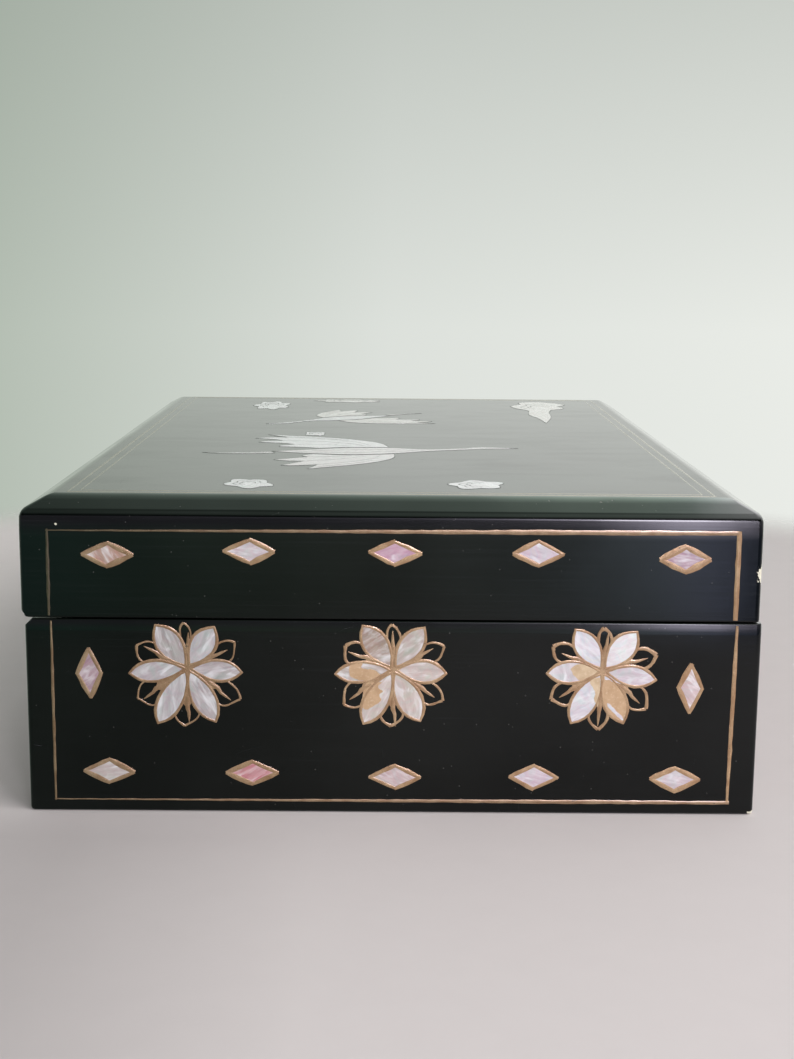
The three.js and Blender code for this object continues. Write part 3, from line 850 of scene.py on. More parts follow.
diamond_length = 11.6
diamond_height = 5.6
pale_lilac = (0.58, 0.47, 0.53)
dusky_lilac = (0.36, 0.21, 0.25)
pale_pink = (0.56, 0.42, 0.41)
peach = (0.44, 0.235, 0.17)
rose = (0.53, 0.30, 0.40)
strong_rose = (0.55, 0.20, 0.22)
warm_white = (0.51, 0.44, 0.41)
cool_white = (0.56, 0.48, 0.50)
shell_tints = (pale_lilac, pale_pink, warm_white, cool_white)


def diamond(turn, place):
    """A hand-cut diamond: its corners stray a little."""
    half, high = diamond_length / 2, diamond_height / 2
    spin = Matrix.Rotation(turn, 2)
    strayed = []
    for x, y in ((half, 0), (0, high), (-half, 0), (0, -high)):
        strayed.append(Vector((x + astray(0.25), y + astray(0.2))))
    return [spin @ corner + Vector(place) for corner in strayed]


# Middles of the plates on the end that the photograph shows, in millimetres across and up, each with its tint
lid_row = (
    (-77.3, 72.7, peach), (-38.9, 73.8, cool_white), (0.5, 73.7, rose), (39.5, 73.8, pale_lilac),
    (79.2, 72.5, dusky_lilac),
)
foot_row = (
    (-78.1, 11.5, warm_white), (-38.5, 11.2, strong_rose), (1.0, 10.5, pale_pink), (39.5, 10.5, pale_lilac),
    (78.8, 10.3, cool_white),
)
uprights = ((-82.9, 39.4, dusky_lilac), (81.9, 36.5, pale_pink))


def even_row(count, half, inset, height):
    """Places of a row that is laid out evenly, with a seeded tint for each."""
    step = 2 * (half - inset) / (count - 1)
    row = []
    for i in range(count):
        x = inset - half + i * step + astray(0.4)
        row.append((x, height + astray(0.3), chance.choice(shell_tints)))
    return row


diamond_inset = 22
upright_inset = 17.6
lid_row_height = 73.6
foot_row_height = 10.8
upright_height = 37.9
diamond_outlines = {}


def diamond_row(kind, body, where, places, turn=0.0, replaced=()):
    plates = Plates()
    for x, z, tint in places:
        corners = diamond(turn, (x, z))
        diamond_outlines.setdefault((body, where), []).append(corners)
        plates.lay(corners, faces[body][where], tint, astray(0.9))
    plates.finished(f"{kind}_diamonds_{where}", body, pearl, replaced)


diamond_row("lid", "lid", "left_end", lid_row, replaced=[f"lid_diamond_{i}" for i in range(1, 6)])
diamond_row("foot", "base", "left_end", foot_row, replaced=[f"foot_diamond_{i}" for i in range(1, 6)])
diamond_row("upright", "base", "left_end", uprights, math.pi / 2, ["upright_diamond_1", "upright_diamond_2"])
for where, half, count in (("right_end", half_width, 5), ("front", half_length, 7)):
    diamond_row("lid", "lid", where, even_row(count, half, diamond_inset, lid_row_height))
    diamond_row("foot", "base", where, even_row(count, half, diamond_inset, foot_row_height))
    diamond_row("upright", "base", where, even_row(2, half, upright_inset, upright_height), math.pi / 2)


# Shell rosettes. Six petals pieced round a middle, each a plate of its own with its own lustre. In the
# photographed end some petals were made up with tan filler where the shell ran short.
filler_tan = (0.60, 0.40, 0.245)
filler_cream = (0.68, 0.52, 0.35)
root_gap = 1.25
tip_gap = 1.0
root_handle = (4.0, 2.85)
tip_handle = (4.1, 4.55)
shortest_notch = 6.4
longest_notch = 10.2
usual_petal = 16


def at(angle, distance, hub=(0, 0)):
    """A place in millimetres, at an angle in degrees and a distance from a hub."""
    angle = math.radians(angle)
    return Vector((hub[0] + distance * math.cos(angle), hub[1] + distance * math.sin(angle)))


class Rosette:
    """A rosette by the tips of its petals, as (length, angle in degrees), anticlockwise from the right."""

    def __init__(self, hub, tips):
        self.hub = hub
        self.tips = tips
        self.fullness = []
        for _, angle in tips:
            level = abs(math.sin(math.radians(angle))) < 0.3
            self.fullness.append(chance.uniform(0.94, 1.06) * (0.95 if level else 1.08))
        self.notches = []
        for (length, angle), (next_length, next_angle) in zip(tips, tips[1:] + tips[:1]):
            between = angle + (next_angle - angle) % 360 / 2
            share = (1 - math.sin(math.radians(between))) / 2
            reach = shortest_notch + (longest_notch - shortest_notch) * share ** 0.6
            self.notches.append((reach * (length + next_length) / (2 * usual_petal), between % 360))

    def petal(self, k, outwards=0.0):
        """The leaf outline of a petal's shell, from its root round by its tip, set outwards by a distance."""
        length, angle = self.tips[k]
        root, tip = root_gap - outwards, length - tip_gap + outwards * 1.4
        spin = Matrix.Rotation(math.radians(angle), 2)
        sides = []
        for side in (-1, 1):
            low = side * (root_handle[1] * self.fullness[k] + outwards)
            high = side * (tip_handle[1] * self.fullness[k] + outwards * 1.5)
            low, high = Vector((root + root_handle[0], low, 0)), Vector((tip - tip_handle[0], high, 0))
            sides.append(interpolate_bezier(Vector((root, 0, 0)), low, high, Vector((tip, 0, 0)), 11))
        leaf_shape = [*sides[0], *reversed(sides[1][1:-1])]
        return [spin @ point.xy + Vector(self.hub) for point in leaf_shape]


lilac_white = (0.60, 0.54, 0.57)
bright_white = (0.74, 0.73, 0.72)
silver = (0.67, 0.65, 0.68)
shaded_pearl_grey = (0.465, 0.43, 0.435)
shaded_ash_grey = (0.41, 0.365, 0.36)
shaded_dull_grey = (0.37, 0.325, 0.31)
brown_grey = (0.35, 0.245, 0.185)
warm_grey = (0.48, 0.41, 0.36)
cream_white = (0.57, 0.48, 0.42)
rosette_height = 41.1
photographed = []
for x, tips in (
    (-56.0, [(15.4, -4.2), (14.3, 57.8), (15.4, 125.9), (16.6, 185.2), (18.3, 241.9), (17.4, 296.4)]),
    (0.3, [(15.1, -3.6), (15.1, 54.9), (15.5, 124.6), (16.5, 184.8), (18.0, 242.2), (16.9, 297.5)]),
    (57.8, [(15.4, -9.3), (14.9, 50.9), (14.6, 123.9), (15.95, 182.6), (17.6, 240.5), (16.5, 292.1)]),
):
    photographed.append(Rosette((x, rosette_height), tips))
# The first rosette, on the left, has darker greys than its pale shell: painted shade, as the light falls from
# the right.
photographed_tints = (
    (shaded_ash_grey, shaded_pearl_grey, shaded_dull_grey, shaded_pearl_grey, shaded_pearl_grey, shaded_ash_grey),
    (cream_white, warm_grey, brown_grey, warm_grey, cream_white, cream_white),
    (lilac_white, bright_white, silver, lilac_white, silver, filler_tan),
)
photographed_grain = ((10, 60, 110, 30, 80, 120), (5, 40, 35, 160, 60, 100), (170, 20, 140, 100, 25, 10))

rosette_inset = 43
even_tips = ((15.2, -4), (14.8, 57), (15.2, 124), (16.2, 184), (17.6, 242), (17.0, 297))


def even_rosettes(count, half):
    made = []
    for x, z, _ in even_row(count, half, rosette_inset, rosette_height):
        tips = [(length + astray(0.4), angle + astray(1.5)) for length, angle in even_tips]
        made.append(Rosette((x, z), tips))
    return made


rosettes_on = {
    "left_end": photographed,
    "right_end": even_rosettes(3, half_width),
    "front": even_rosettes(5, half_length),
}


def rosette_piece(name, rosette, plane, tints, grains, replaced=()):
    plates = Plates()
    for k in range(6):
        plates.lay(rosette.petal(k), plane, tints[k], math.radians(grains[k]))
    plates.finished(name, "base", pearl, replaced)


for i, rosette in enumerate(photographed):
    node = f"rosette_{i + 1}"
    rosette_piece(f"{node}_petals", rosette, left_end, photographed_tints[i], photographed_grain[i], [node])
for where in ("right_end", "front"):
    for i, rosette in enumerate(rosettes_on[where]):
        tints = [chance.choice(shell_tints) for _ in range(6)]
        grains = [chance.uniform(0, 180) for _ in range(6)]
        rosette_piece(f"rosette_{where}_{i + 1}", rosette, faces["base"][where], tints, grains)


# Filler. Tan lacquer putty levelled over the petals where the shell falls short, with a few fine cracks.
filler, tree = new_material("tan_filler")
place = place_on_object(tree)
clouds = noise(tree, place, 320, 4)
specks = noise(tree, place, 1500)
cracked = mask_of(tree, scratches, scale=240, width=0.03, amount=0.42)
colour = veiled(
    tree, attribute(tree, "tint"), (clouds, 0.35, 0.65, 0.5, (0.42, 0.25, 0.13)),
    (specks, 0.55, 0.75, 0.4, (0.80, 0.66, 0.48)), (cracked, 0, 1, 0.6, (0.10, 0.05, 0.03)),
)
bump = relief(tree, math_of(tree, "SUBTRACT", clouds, cracked), 0.6, 0.03)
surface(tree, colour, ranged(tree, clouds, 0.3, 0.7, 0.35, 0.5), bump)

filler_top = 0.08
filler_depth = 0.06
filler_edge = 0.01
# Outlines in millimetres from the hub of a rosette, on the photographed end
second_rosette_filler = (
    [(-12.0, 1.5), (-10.2, 2.3), (-8.4, 2.0), (-8.9, 0.6), (-7.5, 0.1), (-5.6, 0.0), (-3.8, -1.1),
     (-3.4, -2.1), (-5.6, -2.9), (-8.0, -3.2), (-10.4, -2.6), (-12.0, -1.7)],
    [(-7.3, -3.7), (-5.0, -3.6), (-3.1, -3.5), (-4.2, -5.0), (-2.8, -6.0), (-3.9, -7.2), (-3.2, -8.6),
     (-5.0, -10.1), (-7.6, -11.4), (-8.6, -9.4), (-8.2, -6.4)],
)
third_rosette_filler = (
    [(-9.0, 0.4), (-7.6, 1.7), (-5.0, 1.9), (-2.2, 0.7), (-1.0, -0.1), (-3.6, -1.6), (-6.4, -2.6),
     (-7.8, -1.4)],
    [(-0.7, -1.6), (-3.2, -2.2), (-3.4, -3.6), (-2.4, -5.0), (-1.9, -6.6), (-2.2, -8.0), (-0.7, -10.2)],
)
third_rosette_scraps = (
    [(0.6, -1.2), (2.0, -1.5), (4.2, -2.6), (5.0, -3.4), (3.0, -3.0), (1.8, -2.4), (0.6, -2.4)],
    [(1.4, -9.0), (2.4, -9.6), (3.9, -11.2), (5.6, -12.7), (5.9, -14.0), (3.7, -12.2), (1.9, -10.4)],
)


def ragged(points, hub, stray=0.12):
    """A closed outline that strays like a torn edge, moved to a hub."""
    strayed = []
    for point in smooth_run([*points, points[0]], 4)[:-1]:
        x, y = point.x + astray(stray), point.y + astray(stray)
        strayed.append((x + hub[0], y + hub[1]))
    return strayed


patches = Plates(filler_top, filler_depth, filler_edge)
for rosette, outlines in ((photographed[1], second_rosette_filler), (photographed[2], third_rosette_filler)):
    for points in outlines:
        patches.lay(ragged(points, rosette.hub), left_end, filler_tan if len(points) > 8 else filler_cream)
patches.lay(photographed[2].petal(5), left_end, filler_tan)
patches.finished("tan_filler_patches", "base", filler)

scraps = Plates(filler_top + 0.02, filler_depth, filler_edge)
for points in third_rosette_scraps:
    scraps.lay(ragged(points, photographed[2].hub, 0.08), left_end, silver, 0.4)
scraps.finished("shell_scraps_in_filler", "base", pearl)


# Gold lines. Thick gold paint drawn by hand over the joints round every plate, in loops and spikes between
# the petals, and as a border on each face. It swells and thins with the brush.
gold, tree = new_material("gold_paint")
place = place_on_object(tree)
patchy = noise(tree, place, 240, 4, 0.6)
grainy = noise(tree, place, 2600)
rubbed = noise(tree, place, 420, 5, 0.7)
colour = mixed(tree, ranged(tree, patchy, 0.38, 0.62), (0.44, 0.245, 0.125), (0.62, 0.40, 0.225))
darker, worn_off = (0.36, 0.20, 0.10), (0.05, 0.04, 0.03)
colour = veiled(tree, colour, (grainy, 0.45, 0.75, 0.5, darker), (rubbed, 0.63, 0.70, 0.85, worn_off))
# The tint darkens some strokes: the border lines' duller paint, and painted shade on the left of each face.
colour = toned(tree, colour, attribute(tree, "tint"))
bump = relief(tree, summed(tree, (patchy, 1), (grainy, 0.3)), 0.6, 0.03)
rough = ranged(tree, grainy, 0.3, 0.7, 0.26, 0.42)
metal = ranged(tree, rubbed, 0.60, 0.68, 0.35, 0.0)
surface(tree, colour, rough, bump, Metallic=metal, Coat_Weight=0.5, Coat_Roughness=0.12)

paint_slope = 0.3
paint_thickness = 0.1
crown = 0.12
film_depth = 0.22
brush_step = 2.2
late_growth = 1.6
full_gold = (1, 1, 1)


class Brush:
    """Painted lines of one piece. Each batch that is pressed onto a face has a tint of its own."""

    def __init__(self):
        self.made = bmesh.new()
        self.tint = self.made.verts.layers.float_color.new("tint")
        self.start()

    def start(self):
        self.films = []
        self.curve = bpy.data.curves.new("strokes", "CURVE")
        self.curve.dimensions = "3D"
        self.curve.bevel_depth = 1
        self.curve.bevel_resolution = 1
        self.curve.use_fill_caps = True

    def stroke(self, points, width, head=0.6, tail=0.6, stray=0.05, swell=0.14, last_width=None):
        """A stroke through points. Its first and last quarter narrow to a share of the width."""
        radii = []
        growth = (last_width or width) - width
        for i in range(len(points)):
            from_head, to_tail = 4 * i / len(points), 4 * (len(points) - 1 - i) / len(points)
            share = head + (1 - head) * min(1, from_head) + (tail - 1) * (1 - min(1, to_tail))
            grown = width + growth * (i / len(points)) ** late_growth
            radii.append(grown / 2 * share * (1 + astray(swell)))
        poly_spline(self.curve, [(x + astray(stray), y + astray(stray)) for x, y, *_ in points], radii)

    def tapered(self, places):
        """A stroke through places, each with its own half width."""
        points, radii = [], []
        for (start, half), (end, next_half) in zip(places, places[1:]):
            for share in (0, 0.5):
                points.append(Vector(start).lerp(end, share))
                radii.append((half + (next_half - half) * share) * chance.uniform(0.94, 1.06))
        points.append(places[-1][0])
        radii.append(places[-1][1])
        poly_spline(self.curve, points, radii)

    def film(self, points):
        """A thin film of paint that fills an outline."""
        self.films.append(filled(points, film_depth, film_depth / 4))

    def line(self, start, end, width, **settings):
        start, end = Vector(start), Vector(end)
        count = max(3, round((end - start).length / brush_step))
        self.stroke([start.lerp(end, i / count) for i in range(count + 1)], width, **settings)

    def onto(self, plane, tint=full_gold, shaded_left_tint=None, thickness=paint_thickness):
        """Presses the strokes so far flat on a face. A left tint of painted shade fades into the tint by the
        face's middle.
        """
        known = len(self.made.verts)
        for mesh in (mesh_of_curve(self.curve), *self.films):
            self.made.from_mesh(mesh)
            bpy.data.meshes.remove(mesh)
        self.made.verts.ensure_lookup_table()
        verts = self.made.verts[known:]
        for vert in verts:
            rise = abs(vert.co.z) * paint_slope
            rise = min(rise, thickness + max(0, rise - thickness) * crown)
            vert.co.z = math.copysign(rise, vert.co.z)
            share = max(0, min(1, 1 + vert.co.x / half_width)) if shaded_left_tint else 1
            vert[self.tint] = (*Vector(shaded_left_tint or tint).lerp(tint, share), 1)
        bmesh.ops.transform(self.made, matrix=plane, verts=verts)
        self.start()

    def finished(self, name, body, slot, material):
        bpy.data.curves.remove(self.curve)
        piece = linked(name, self.made)
        smooth_faces(piece, 60, flats=False)
        belongs(piece, body, material)


def edge_diamonds(brush, outlines, width=1.5, boldest=None):
    """Four strokes round each diamond, half over its edge, which overshoot a little at its corners."""
    overshoot = 0.3
    outside = 1.16
    for number, corners in enumerate(outlines):
        bold = 1.35 if number == boldest else 1
        middle = sum(corners, Vector((0, 0))) / 4
        grown = [middle + (corner - middle) * outside for corner in corners]
        for a, b in zip(grown, grown[1:] + grown[:1]):
            along = (b - a).normalized()
            thick = bold * width * chance.uniform(0.8, 1.15)
            brush.line(a - along * overshoot, b + along * overshoot, thick, head=0.7, tail=0.7)
        for k in range(4):
            covered = chance.uniform(0.16, 0.34) if k % 2 == 0 else chance.uniform(0.10, 0.18)
            corner, after, before = grown[k], grown[(k + 1) % 4], grown[k - 1]
            brush.film([corner, corner.lerp(after, covered), corner.lerp(before, covered)])


def edge_rosette(brush, rosette, loop_width=0.65):
    """The edging of the petals, and in each notch between them a wedge that ends in a spike, and a loop."""
    hub = Vector(rosette.hub)
    edge_width = 0.95
    edge_outwards = 0.28
    beyond_tip = 0.3
    wedge_root = 0.7
    spike_lengths = (3.9, 5.2)
    spike_widths = ((0.3, 0.44), (0.65, 0.34), (1, 0.07))
    near_top = 25
    top_reach, upper_reach, lower_reach = 12.0, 14.6, 16.0
    edges = []
    for k in range(6):
        points = rosette.petal(k, edge_outwards)
        tip = len(points) // 2
        right, left = points[: tip + 1], [points[0], *reversed(points[tip:])]
        for side in (right, left):
            beyond = side[-1] + (side[-1] - side[-2]).normalized() * beyond_tip
            brush.stroke([*side, beyond], edge_width * chance.uniform(0.9, 1.1), head=1.0, stray=0.04)
        edges.append((right, left))
    star = []
    for (length, angle), (reach, between) in zip(rosette.tips, rosette.notches):
        star += [at(angle, reach * wedge_root, hub), at(between, reach + 0.2, hub)]
    brush.film(star)
    for k, (reach, between) in enumerate(rosette.notches):
        top = abs(between - 90) < near_top
        foot_point = 5 if top else 7
        wander = between + astray(4)
        spike = chance.uniform(*spike_lengths)
        fill = 0.5 if top else 0.62
        wedge = [(at(between, reach * wedge_root, hub), fill), (at(between, reach, hub), fill)]
        for share, half in spike_widths:
            wedge.append((at(wander, reach + spike * share, hub), half))
        brush.tapered(wedge)
        nearest = top_reach if top else upper_reach if between < 180 else lower_reach
        apex = at(between + astray(3), nearest + chance.uniform(0, 0.9), hub).to_3d()
        width = loop_width * chance.uniform(0.85, 1.2)
        for side, petal_edge in ((-1, edges[k][1]), (1, edges[(k + 1) % 6][0])):
            foot = petal_edge[foot_point].to_3d()
            distance = (apex.xy - foot.xy).length
            leaving = at(between + side * chance.uniform(0, 6 if top else 16), 1).to_3d()
            arriving = at(between - side * chance.uniform(48, 66), 1).to_3d()
            leaving, arriving = foot + leaving * distance * 0.42, apex - arriving * distance * 0.38
            loop = interpolate_bezier(foot, leaving, arriving, apex, 9)
            brush.stroke(loop, width * chance.uniform(0.85, 1.15), head=0.8, tail=1.35, stray=0.04)


border_left, border_right = -93.0, 94.1
border_foot, border_top = 3.4, 79.6
side_border = 143.3
line_from_rim = 0.6
line_from_chamfer = 0.4

# Tints of the gold. The darker tints on the left of each face are painted shade, as the light falls from the
# right, besides the border lines' own duller paint.
painted_shade_left = (0.17, 0.21, 0.21)
half_dull_and_shaded = (0.48, 0.52, 0.54)
dull_and_shaded_gold = (0.66, 0.70, 0.76)
near_full = (0.85, 0.87, 0.88)
faint_gold = (0.20, 0.22, 0.18)
photographed_gold = ((0.68, 0.68, 0.69), (0.88, 0.91, 0.95), (0.83, 0.85, 0.87))

base_gold = Brush()
for where, left, right, thick in (
    ("left_end", border_left, border_right, (0.75, 1.1, 0.48, 1.55)),
    ("right_end", -93.6, 93.6, (0.9, 0.9, 0.9, 0.9)),
    ("front", -side_border, side_border, (0.9, 1.0, 0.9, 1.0)),
    ("back", -side_border, side_border, (0.8, 0.9, 0.9, 0.8)),
):
    plane = faces["base"][where]
    rim = rim_of_base - (base_chamfer + line_from_chamfer if where == "back" else line_from_rim)
    # The left line is darker than the right one, and the bottom line and the diamonds' edging darken towards
    # the left: painted shade, as the light falls from the right.
    base_gold.line((left, rim), (left - 0.1, border_foot - 0.3), thick[0])
    base_gold.onto(plane, half_dull_and_shaded)
    base_gold.line((right, rim), (right - 0.6, border_foot - 0.3), thick[1])
    base_gold.onto(plane, near_full)
    base_gold.line((left - 0.4, border_foot), (right, border_foot + 0.1), thick[2], last_width=thick[3])
    base_gold.onto(plane, dull_and_shaded_gold, half_dull_and_shaded)
    edge_diamonds(base_gold, diamond_outlines.get(("base", where), []))
    base_gold.onto(plane, near_full, dull_and_shaded_gold)
    for i, rosette in enumerate(rosettes_on.get(where, [])):
        edge_rosette(base_gold, rosette, 0.5 + 0.14 * (i % 3))
        base_gold.onto(plane, photographed_gold[i] if where == "left_end" else near_full)
base_gold.finished("gold_lines_base", "base", "gold_paint", gold)

lid_gold = Brush()
for where, half, thick in (
    ("left_end", 93.5, (0.85, 1.45, 0.55, 1.85)),
    ("right_end", 93.6, (0.9, 0.9, 0.9, 1.0)),
    ("front", side_border, (0.9, 1.0, 0.9, 1.1)),
    ("back", side_border, (0.8, 0.9, 0.9, 0.8)),
):
    shown = where == "left_end"
    plane = faces["lid"][where]
    rim = rim_of_lid + (lid_chamfer + line_from_chamfer if where == "back" else line_from_rim)
    # The left line is darker than the right one, and the top line and the diamonds' edging darken towards the
    # left: painted shade, as the light falls from the right.
    lid_gold.line((-half, rim), (-half + 0.1, border_top), thick[0])
    lid_gold.onto(plane, painted_shade_left if shown else dull_and_shaded_gold)
    lid_gold.line((half, rim), (half, border_top + 0.7), thick[1], head=0.85, tail=0.85)
    lid_gold.onto(plane, near_full)
    start, end = (-half - 0.3, border_top - 0.4), (half + 0.3, border_top + 0.2)
    lid_gold.line(start, end, thick[2], last_width=thick[3])
    lid_gold.onto(plane, dull_and_shaded_gold, painted_shade_left if shown else None)
    edge_diamonds(lid_gold, diamond_outlines.get(("lid", where), []), boldest=4 if shown else None)
    lid_gold.onto(plane, near_full, dull_and_shaded_gold)

for inset, width in ((4.33, 0.85), (7.33, 0.6)):
    left, right = lid_left + border + inset, lid_right - border - inset
    y = half_length - border - inset
    corners = [(left, -y), (right, -y), (right, y), (left, y)]
    for a, b in zip(corners, corners[1:] + corners[:1]):
        lid_gold.line(a, b, width)
        lid_gold.onto(flat_of_lid, half_dull_and_shaded if a[1] == b[1] else faint_gold, thickness=0.03)
lid_gold.finished("gold_lines_lid", "lid", "gold_paint", gold)


# Picture on the lid. Cranes among clouds, cut from white shell in several plates each and let into the
# lacquer, with feathers and folds engraved in them and rubbed with black.
def outline(*runs):
    """A closed outline of smooth runs that meet in points. Each run starts where the one before it ended."""
    points = []
    start = runs[-1][-1]
    for run in runs:
        points += smooth_run([start, *run])[:-1]
        start = run[-1]
    return points


crane = {
    "body": outline(
        [(43, 8.4), (38, 8.8), (31, 6), (20, 3.6), (7, 8), (-8, 9), (-22, 5), (-36, 1)],
        [(-24, -5), (-8, -9), (6, -6.5), (20, -0.6), (31, 2), (40, 4.4), (52, 5)],
    ),
    "far_wing": outline(
        [(3, 24), (-11, 38), (-36, 50)], [(-30, 43), (-29, 41)], [(-36, 41), (-41, 39)],
        [(-34, 35), (-31, 31)], [(-37, 30), (-40, 27)], [(-32, 24), (-27, 20)], [(-32, 17), (-33, 14)],
        [(-26, 12), (-19, 9)], [(-8, 11), (6, 10)],
    ),
    "near_wing": outline(
        [(4, -20), (-6, -32), (-26, -44)], [(-23, -37), (-22, -34)], [(-30, -36), (-34, -35)],
        [(-29, -29), (-26, -25)], [(-32, -24), (-36, -21)], [(-30, -18), (-24, -15)],
        [(-26, -11), (-22, -7.4)], [(-9, -11), (6, -8.6)],
    ),
    "legs": outline(
        [(-48, -2), (-60, -1.5)], [(-54, -4), (-48, -5)], [(-40, -4.5), (-35, -3.6)],
        [(-36, -2), (-37, -0.5)],
    ),
}
crane_engraving = (
    [(-29, 41), (-16, 36), (-5, 27), (0, 15)],
    [(-31, 31), (-17, 28), (-6, 20), (-2, 13)],
    [(-27, 20), (-15, 19), (-7, 14)],
    [(-34, 45), (-18, 38.5), (-7, 31)],
    [(-22, -34), (-10, -27), (-2, -19), (1, -11)],
    [(-26, -25), (-14, -21), (-5, -14)],
    [(-24, -15), (-15, -14), (-9, -12)],
    [(-22, -39), (-10, -31), (-3, -25)],
    [(-22, 2), (-8, 4), (6, 3), (18, 1.5)],
    [(-28, -1), (-12, -3.5), (4, -2), (14, 0)],
    [(30, 4), (36, 6.5), (42, 7)],
    [(41, 6.4), (43.2, 6.6)],
    [(-58, -2.4), (-48, -3.3), (-38, -2.2)],
)
streaming = outline(
    [(-3.5, -42), (-6, -28), (-5, -12), (-9, -4)], [(-11, 6), (-6, 14)], [(-6, 22), (2, 26), (8, 22)],
    [(13, 14), (9, 6)], [(11, -2), (5, -8)], [(3, -20), (2, -38), (-2, -59)],
)


def cloud_outline(length, depth, lobes):
    """Round lobes that meet in cusps."""
    cusp, swell = 0.36, 0.68

    def rim(k, share):
        angle = k * 2 * math.pi / lobes
        return Vector((share * length * math.cos(angle), share * depth * math.sin(angle), 0))

    points = []
    for k in range(lobes):
        start, bulge, end = rim(k, cusp), rim(k + 0.5, swell), rim(k + 1, cusp)
        points += interpolate_bezier(start, start.lerp(bulge, 2 / 3), end.lerp(bulge, 2 / 3), end, 9)[:-1]
    return points


def turned_onto(points, place, turn):
    spin = Matrix.Rotation(turn, 2)
    return [spin @ Vector(point[:2]) + Vector(place) for point in points]


engraving, tree = new_material("rubbed_engraving")
patchy = noise(tree, place_on_object(tree), 500, 3)
colour = mixed(tree, ranged(tree, patchy, 0.45, 0.65), (0.012, 0.012, 0.012), (0.16, 0.15, 0.14))
surface(tree, colour, ranged(tree, patchy, 0.3, 0.7, 0.35, 0.6))

outline_width = 0.3
feather_width = 0.34
curl_width = 0.4
engraved = Brush()
cranes = (("large_crane", 0.95, (-6, -46), 0.1), ("small_crane", 0.66, (-21, 54), 3.7))
for name, scale, place, turn in cranes:
    plates = Plates()
    for points in crane.values():
        points = turned_onto([point * scale for point in points], place, turn)
        plates.lay(points, flat_of_lid, chance.choice((silver, cool_white, warm_white)), turn + 0.4)
        engraved.stroke([*points, points[0]], outline_width, stray=0.04, swell=0.3)
    plates.finished(f"{name}_plates", "lid", pearl, [f"{name}_{part}" for part in crane])
    for run in crane_engraving:
        points = turned_onto(smooth_run([(x * scale, y * scale) for x, y in run], 4), place, turn)
        engraved.stroke(points, feather_width * scale, head=0.9, tail=0.3, stray=0.03)

for name, points, place, turn in (
    ("cloud_near_left", cloud_outline(15, 20, 5), (-41.5, -121), 0.3),
    ("cloud_near_right", cloud_outline(19, 17, 5), (24, -120), 1.1),
    ("cloud_far_left", cloud_outline(16, 36, 7), (-51, 104), 0),
    ("cloud_far_middle", cloud_outline(30, 14, 7), (-19, 126), 0),
    ("cloud_small", cloud_outline(9, 13, 4), (-28, 2), 0),
    ("cloud_streaming", streaming, (62, 102), 0),
):
    plates = Plates()
    outer = turned_onto(points, place, turn)
    plates.lay(outer, flat_of_lid, chance.choice((silver, warm_white)), chance.uniform(0, 3))
    engraved.stroke([*outer, outer[0]], outline_width, stray=0.04, swell=0.3)
    plates.finished(f"{name}_plate", "lid", pearl, [name])
    for curl in (0.62, 0.36):
        ring = [Vector(point[:2]) * curl for point in points]
        if points is streaming:
            ring = [point for point in ring if point.y > -6]
        ring = turned_onto(ring[: len(ring) * 2 // 3], place, turn)
        engraved.stroke(ring, curl_width, tail=0.3, stray=0.03)
engraved.onto(flat_of_lid @ Matrix.Translation((0, 0, plate_top)), thickness=0.015)
engraved.finished("engraved_lines_lid", "lid", "lacquered_wood", engraving)


# Hinges. Two small butt hinges of cast brass: each has two leaves let into the rims, five knuckles that
# interleave round a pin, and four countersunk screws.
brass, tree = new_material("aged_brass")
tarnish = noise(tree, place_on_object(tree), 180, 5, 0.65)
handled = mask_of(tree, scratches, scale=400, width=0.02, amount=0.6)
colour = mixed(tree, ranged(tree, tarnish, 0.38, 0.68), (0.58, 0.39, 0.16), (0.24, 0.15, 0.07))
colour = veiled(tree, colour, (handled, 0, 1, 0.4, (0.78, 0.62, 0.33)))
rough = ranged(tree, tarnish, 0.3, 0.7, 0.26, 0.48)
surface(tree, colour, rough, relief(tree, tarnish, 0.4, 0.02), Metallic=0.9)

knuckles = 5
knuckle_gap = 0.3
knuckle_round = 0.18
pin_radius = 1.1
pin_play = 0.1
pin_head = 0.4
seam = 0.5
leaf_corner = 0.9
leaf_edge = 0.12
screw_from_pin = 4.6
screw_spacing = 15
screw_head = 1.6
screw_shank = 0.8
screw_length = 7
slot_length = 6
slot_width = 0.4
slot_depth = 0.35


def rounded_ends(made, offset, segments):
    """Rounds the two rims of a rod."""
    rims = [edge for edge in made.edges if abs((edge.verts[0].co - edge.verts[1].co).normalized().y) < 0.1]
    bmesh.ops.bevel(
        made, geom=rims, offset=offset, offset_type="OFFSET", segments=segments, profile=0.5, affect="EDGES",
        material=-1,
    )
    return made


def leaf(name, upwards, y):
    """One leaf with its knuckles. Upwards is 1 for the lid's leaf and -1 for the base's."""
    near, far = sorted((upwards * seam / 2, upwards * (seam / 2 + leaf_thickness)))
    origin = pin_line + Vector((0, y, 0))
    half = leaf_length / 2
    plate = thing(name, block(origin + Vector((0, -half, near)), origin + Vector((leaf_reach, half, far))))

    def roundings(middle, along):
        return leaf_corner if abs(along.z) > 0.9 and middle.x > origin.x + 1 else leaf_edge

    rounded_edges(plate, roundings, 3)
    pitch = leaf_length / knuckles
    middles = [(i + 0.5) * pitch - half for i in range(knuckles)]
    own = [middle for i, middle in enumerate(middles) if (i % 2 == 0) == (upwards < 0)]
    for middle in middles:
        if middle not in own:
            cut(plate, rod(barrel_radius + knuckle_gap, pitch, origin + Vector((0, middle, 0))))
    for middle in own:
        knuckle = rod(barrel_radius, pitch - knuckle_gap, origin + Vector((0, middle, 0)))
        cut(plate, rounded_ends(knuckle, knuckle_round, 2), operation="UNION")
    cut(plate, rod(pin_radius + pin_play, leaf_length + 2, origin))
    smooth_faces(plate, 40)
    return plate


def pin(name, y):
    """The pin, with a low dome at each end."""
    made = rod(pin_radius, 2 * (leaf_length / 2 + pin_head), pin_line + Vector((0, y, 0)))
    piece = thing(name, rounded_ends(made, pin_head, 4))
    smooth_faces(piece, 60)
    return piece


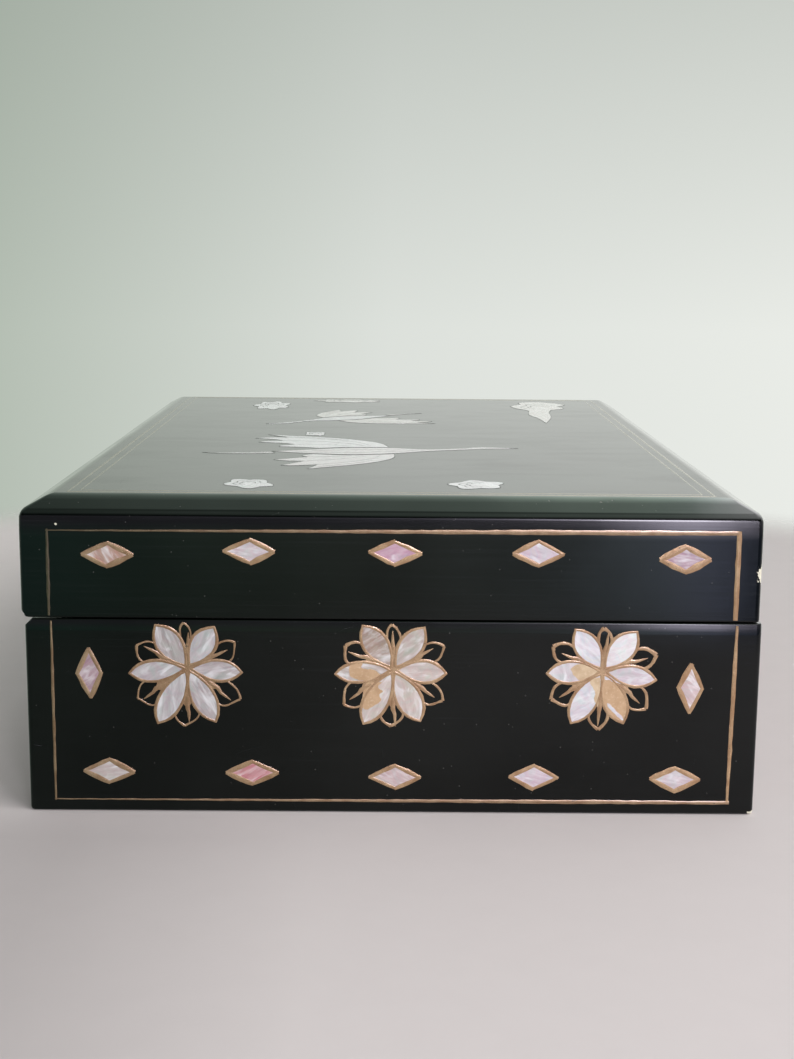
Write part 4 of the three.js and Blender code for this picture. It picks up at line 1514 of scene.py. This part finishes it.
def screws(name, upwards, y):
    """The two screws of a leaf: a profile spun round, with a slot cut across each head."""
    made = bmesh.new()
    neck = screw_head - screw_shank
    profile = (
        (0, 0), (screw_head - 0.1, 0), (screw_head, -0.1), (screw_shank, -neck),
        (screw_shank, screw_shank - screw_length), (0, -screw_length),
    )
    verts = [made.verts.new((x, 0, z)) for x, z in profile]
    edges = [made.edges.new(pair) for pair in zip(verts, verts[1:])]
    bmesh.ops.spin(
        made, geom=verts + edges, cent=(0, 0, 0), axis=(0, 0, 1), angle=2 * math.pi, steps=32, use_merge=True
    )
    bmesh.ops.remove_doubles(made, verts=made.verts, dist=0.001)
    bmesh.ops.recalc_face_normals(made, faces=made.faces)
    piece = thing(name, made)
    slot = block((-slot_length / 2, -slot_width / 2, -slot_depth), (slot_length / 2, slot_width / 2, 1))
    bmesh.ops.rotate(slot, matrix=Matrix.Rotation(chance.uniform(0.2, 1.2), 3, "Z"), verts=slot.verts)
    cut(piece, slot)
    made = bmesh.new()
    made.from_mesh(piece.data)
    if upwards > 0:
        bmesh.ops.rotate(made, matrix=Matrix.Rotation(math.pi, 3, "X"), verts=made.verts)
    origin = (pin_line + Vector((screw_from_pin, y - screw_spacing / 2, upwards * seam / 2))) * mm
    bmesh.ops.translate(made, vec=origin, verts=made.verts)
    copy = bmesh.ops.duplicate(made, geom=made.verts[:] + made.edges[:] + made.faces[:])["geom"]
    second = [item for item in copy if isinstance(item, bmesh.types.BMVert)]
    bmesh.ops.translate(made, vec=(0, screw_spacing * mm, 0), verts=second)
    made.to_mesh(piece.data)
    made.free()
    smooth_faces(piece, 30)
    return piece


for number, y in enumerate(hinge_places, 1):
    for where, upwards in (("base", -1), ("lid", 1)):
        node = f"hinge_{number}_{where}"
        belongs(leaf(f"{node}_leaf_and_knuckles", upwards, y), where, brass, [f"{node}_leaf"])
        pair = [f"{node}_screw_1", f"{node}_screw_2"]
        belongs(screws(f"{node}_screws", upwards, y), where, brass, pair)
    body = body_of(frame["nodes"][f"hinge_{number}_pin"])[0]
    belongs(pin(f"hinge_{number}_domed_pin", y), body, brass, [f"hinge_{number}_pin"])


# Lining. Cards covered in dark red cotton velvet and glued to the floor, the walls of the base and the
# underside of the lid. The cloth turns over their edges, and its pile lies in soft shades.
velvet, tree = new_material("red_velvet")
place = place_on_object(tree)
shades = noise(tree, place, 14, 4, 0.5, 0.6)
pile = noise(tree, place, 2400)
lint = mask_of(tree, dust, scale=260, amount=0.05)
colour = mixed(tree, ranged(tree, shades, 0.35, 0.65), (0.13, 0.008, 0.014), (0.24, 0.016, 0.026))
colour = veiled(
    tree, colour, (pile, 0.4, 0.75, 0.5, (0.36, 0.05, 0.06)), (lint, 0, 1, 0.35, (0.62, 0.52, 0.50))
)
surface(
    tree, colour, ranged(tree, pile, 0.3, 0.7, 0.85, 1.0), relief(tree, pile, 0.8, 0.12),
    Sheen_Weight=0.5, Sheen_Roughness=0.35, Sheen_Tint=(1.0, 0.55, 0.58, 1),
)

cloth_edge = 0.5
for node in sorted(frame["nodes"]):
    if "lining" in node:
        low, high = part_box(node)
        card = thing(f"{node}_velvet", block(low / mm, high / mm))
        rounded_edges(card, lambda middle, along: cloth_edge, 4)
        smooth_faces(card, 60)
        belongs(card, body_of(frame["nodes"][node])[0], velvet, [node])
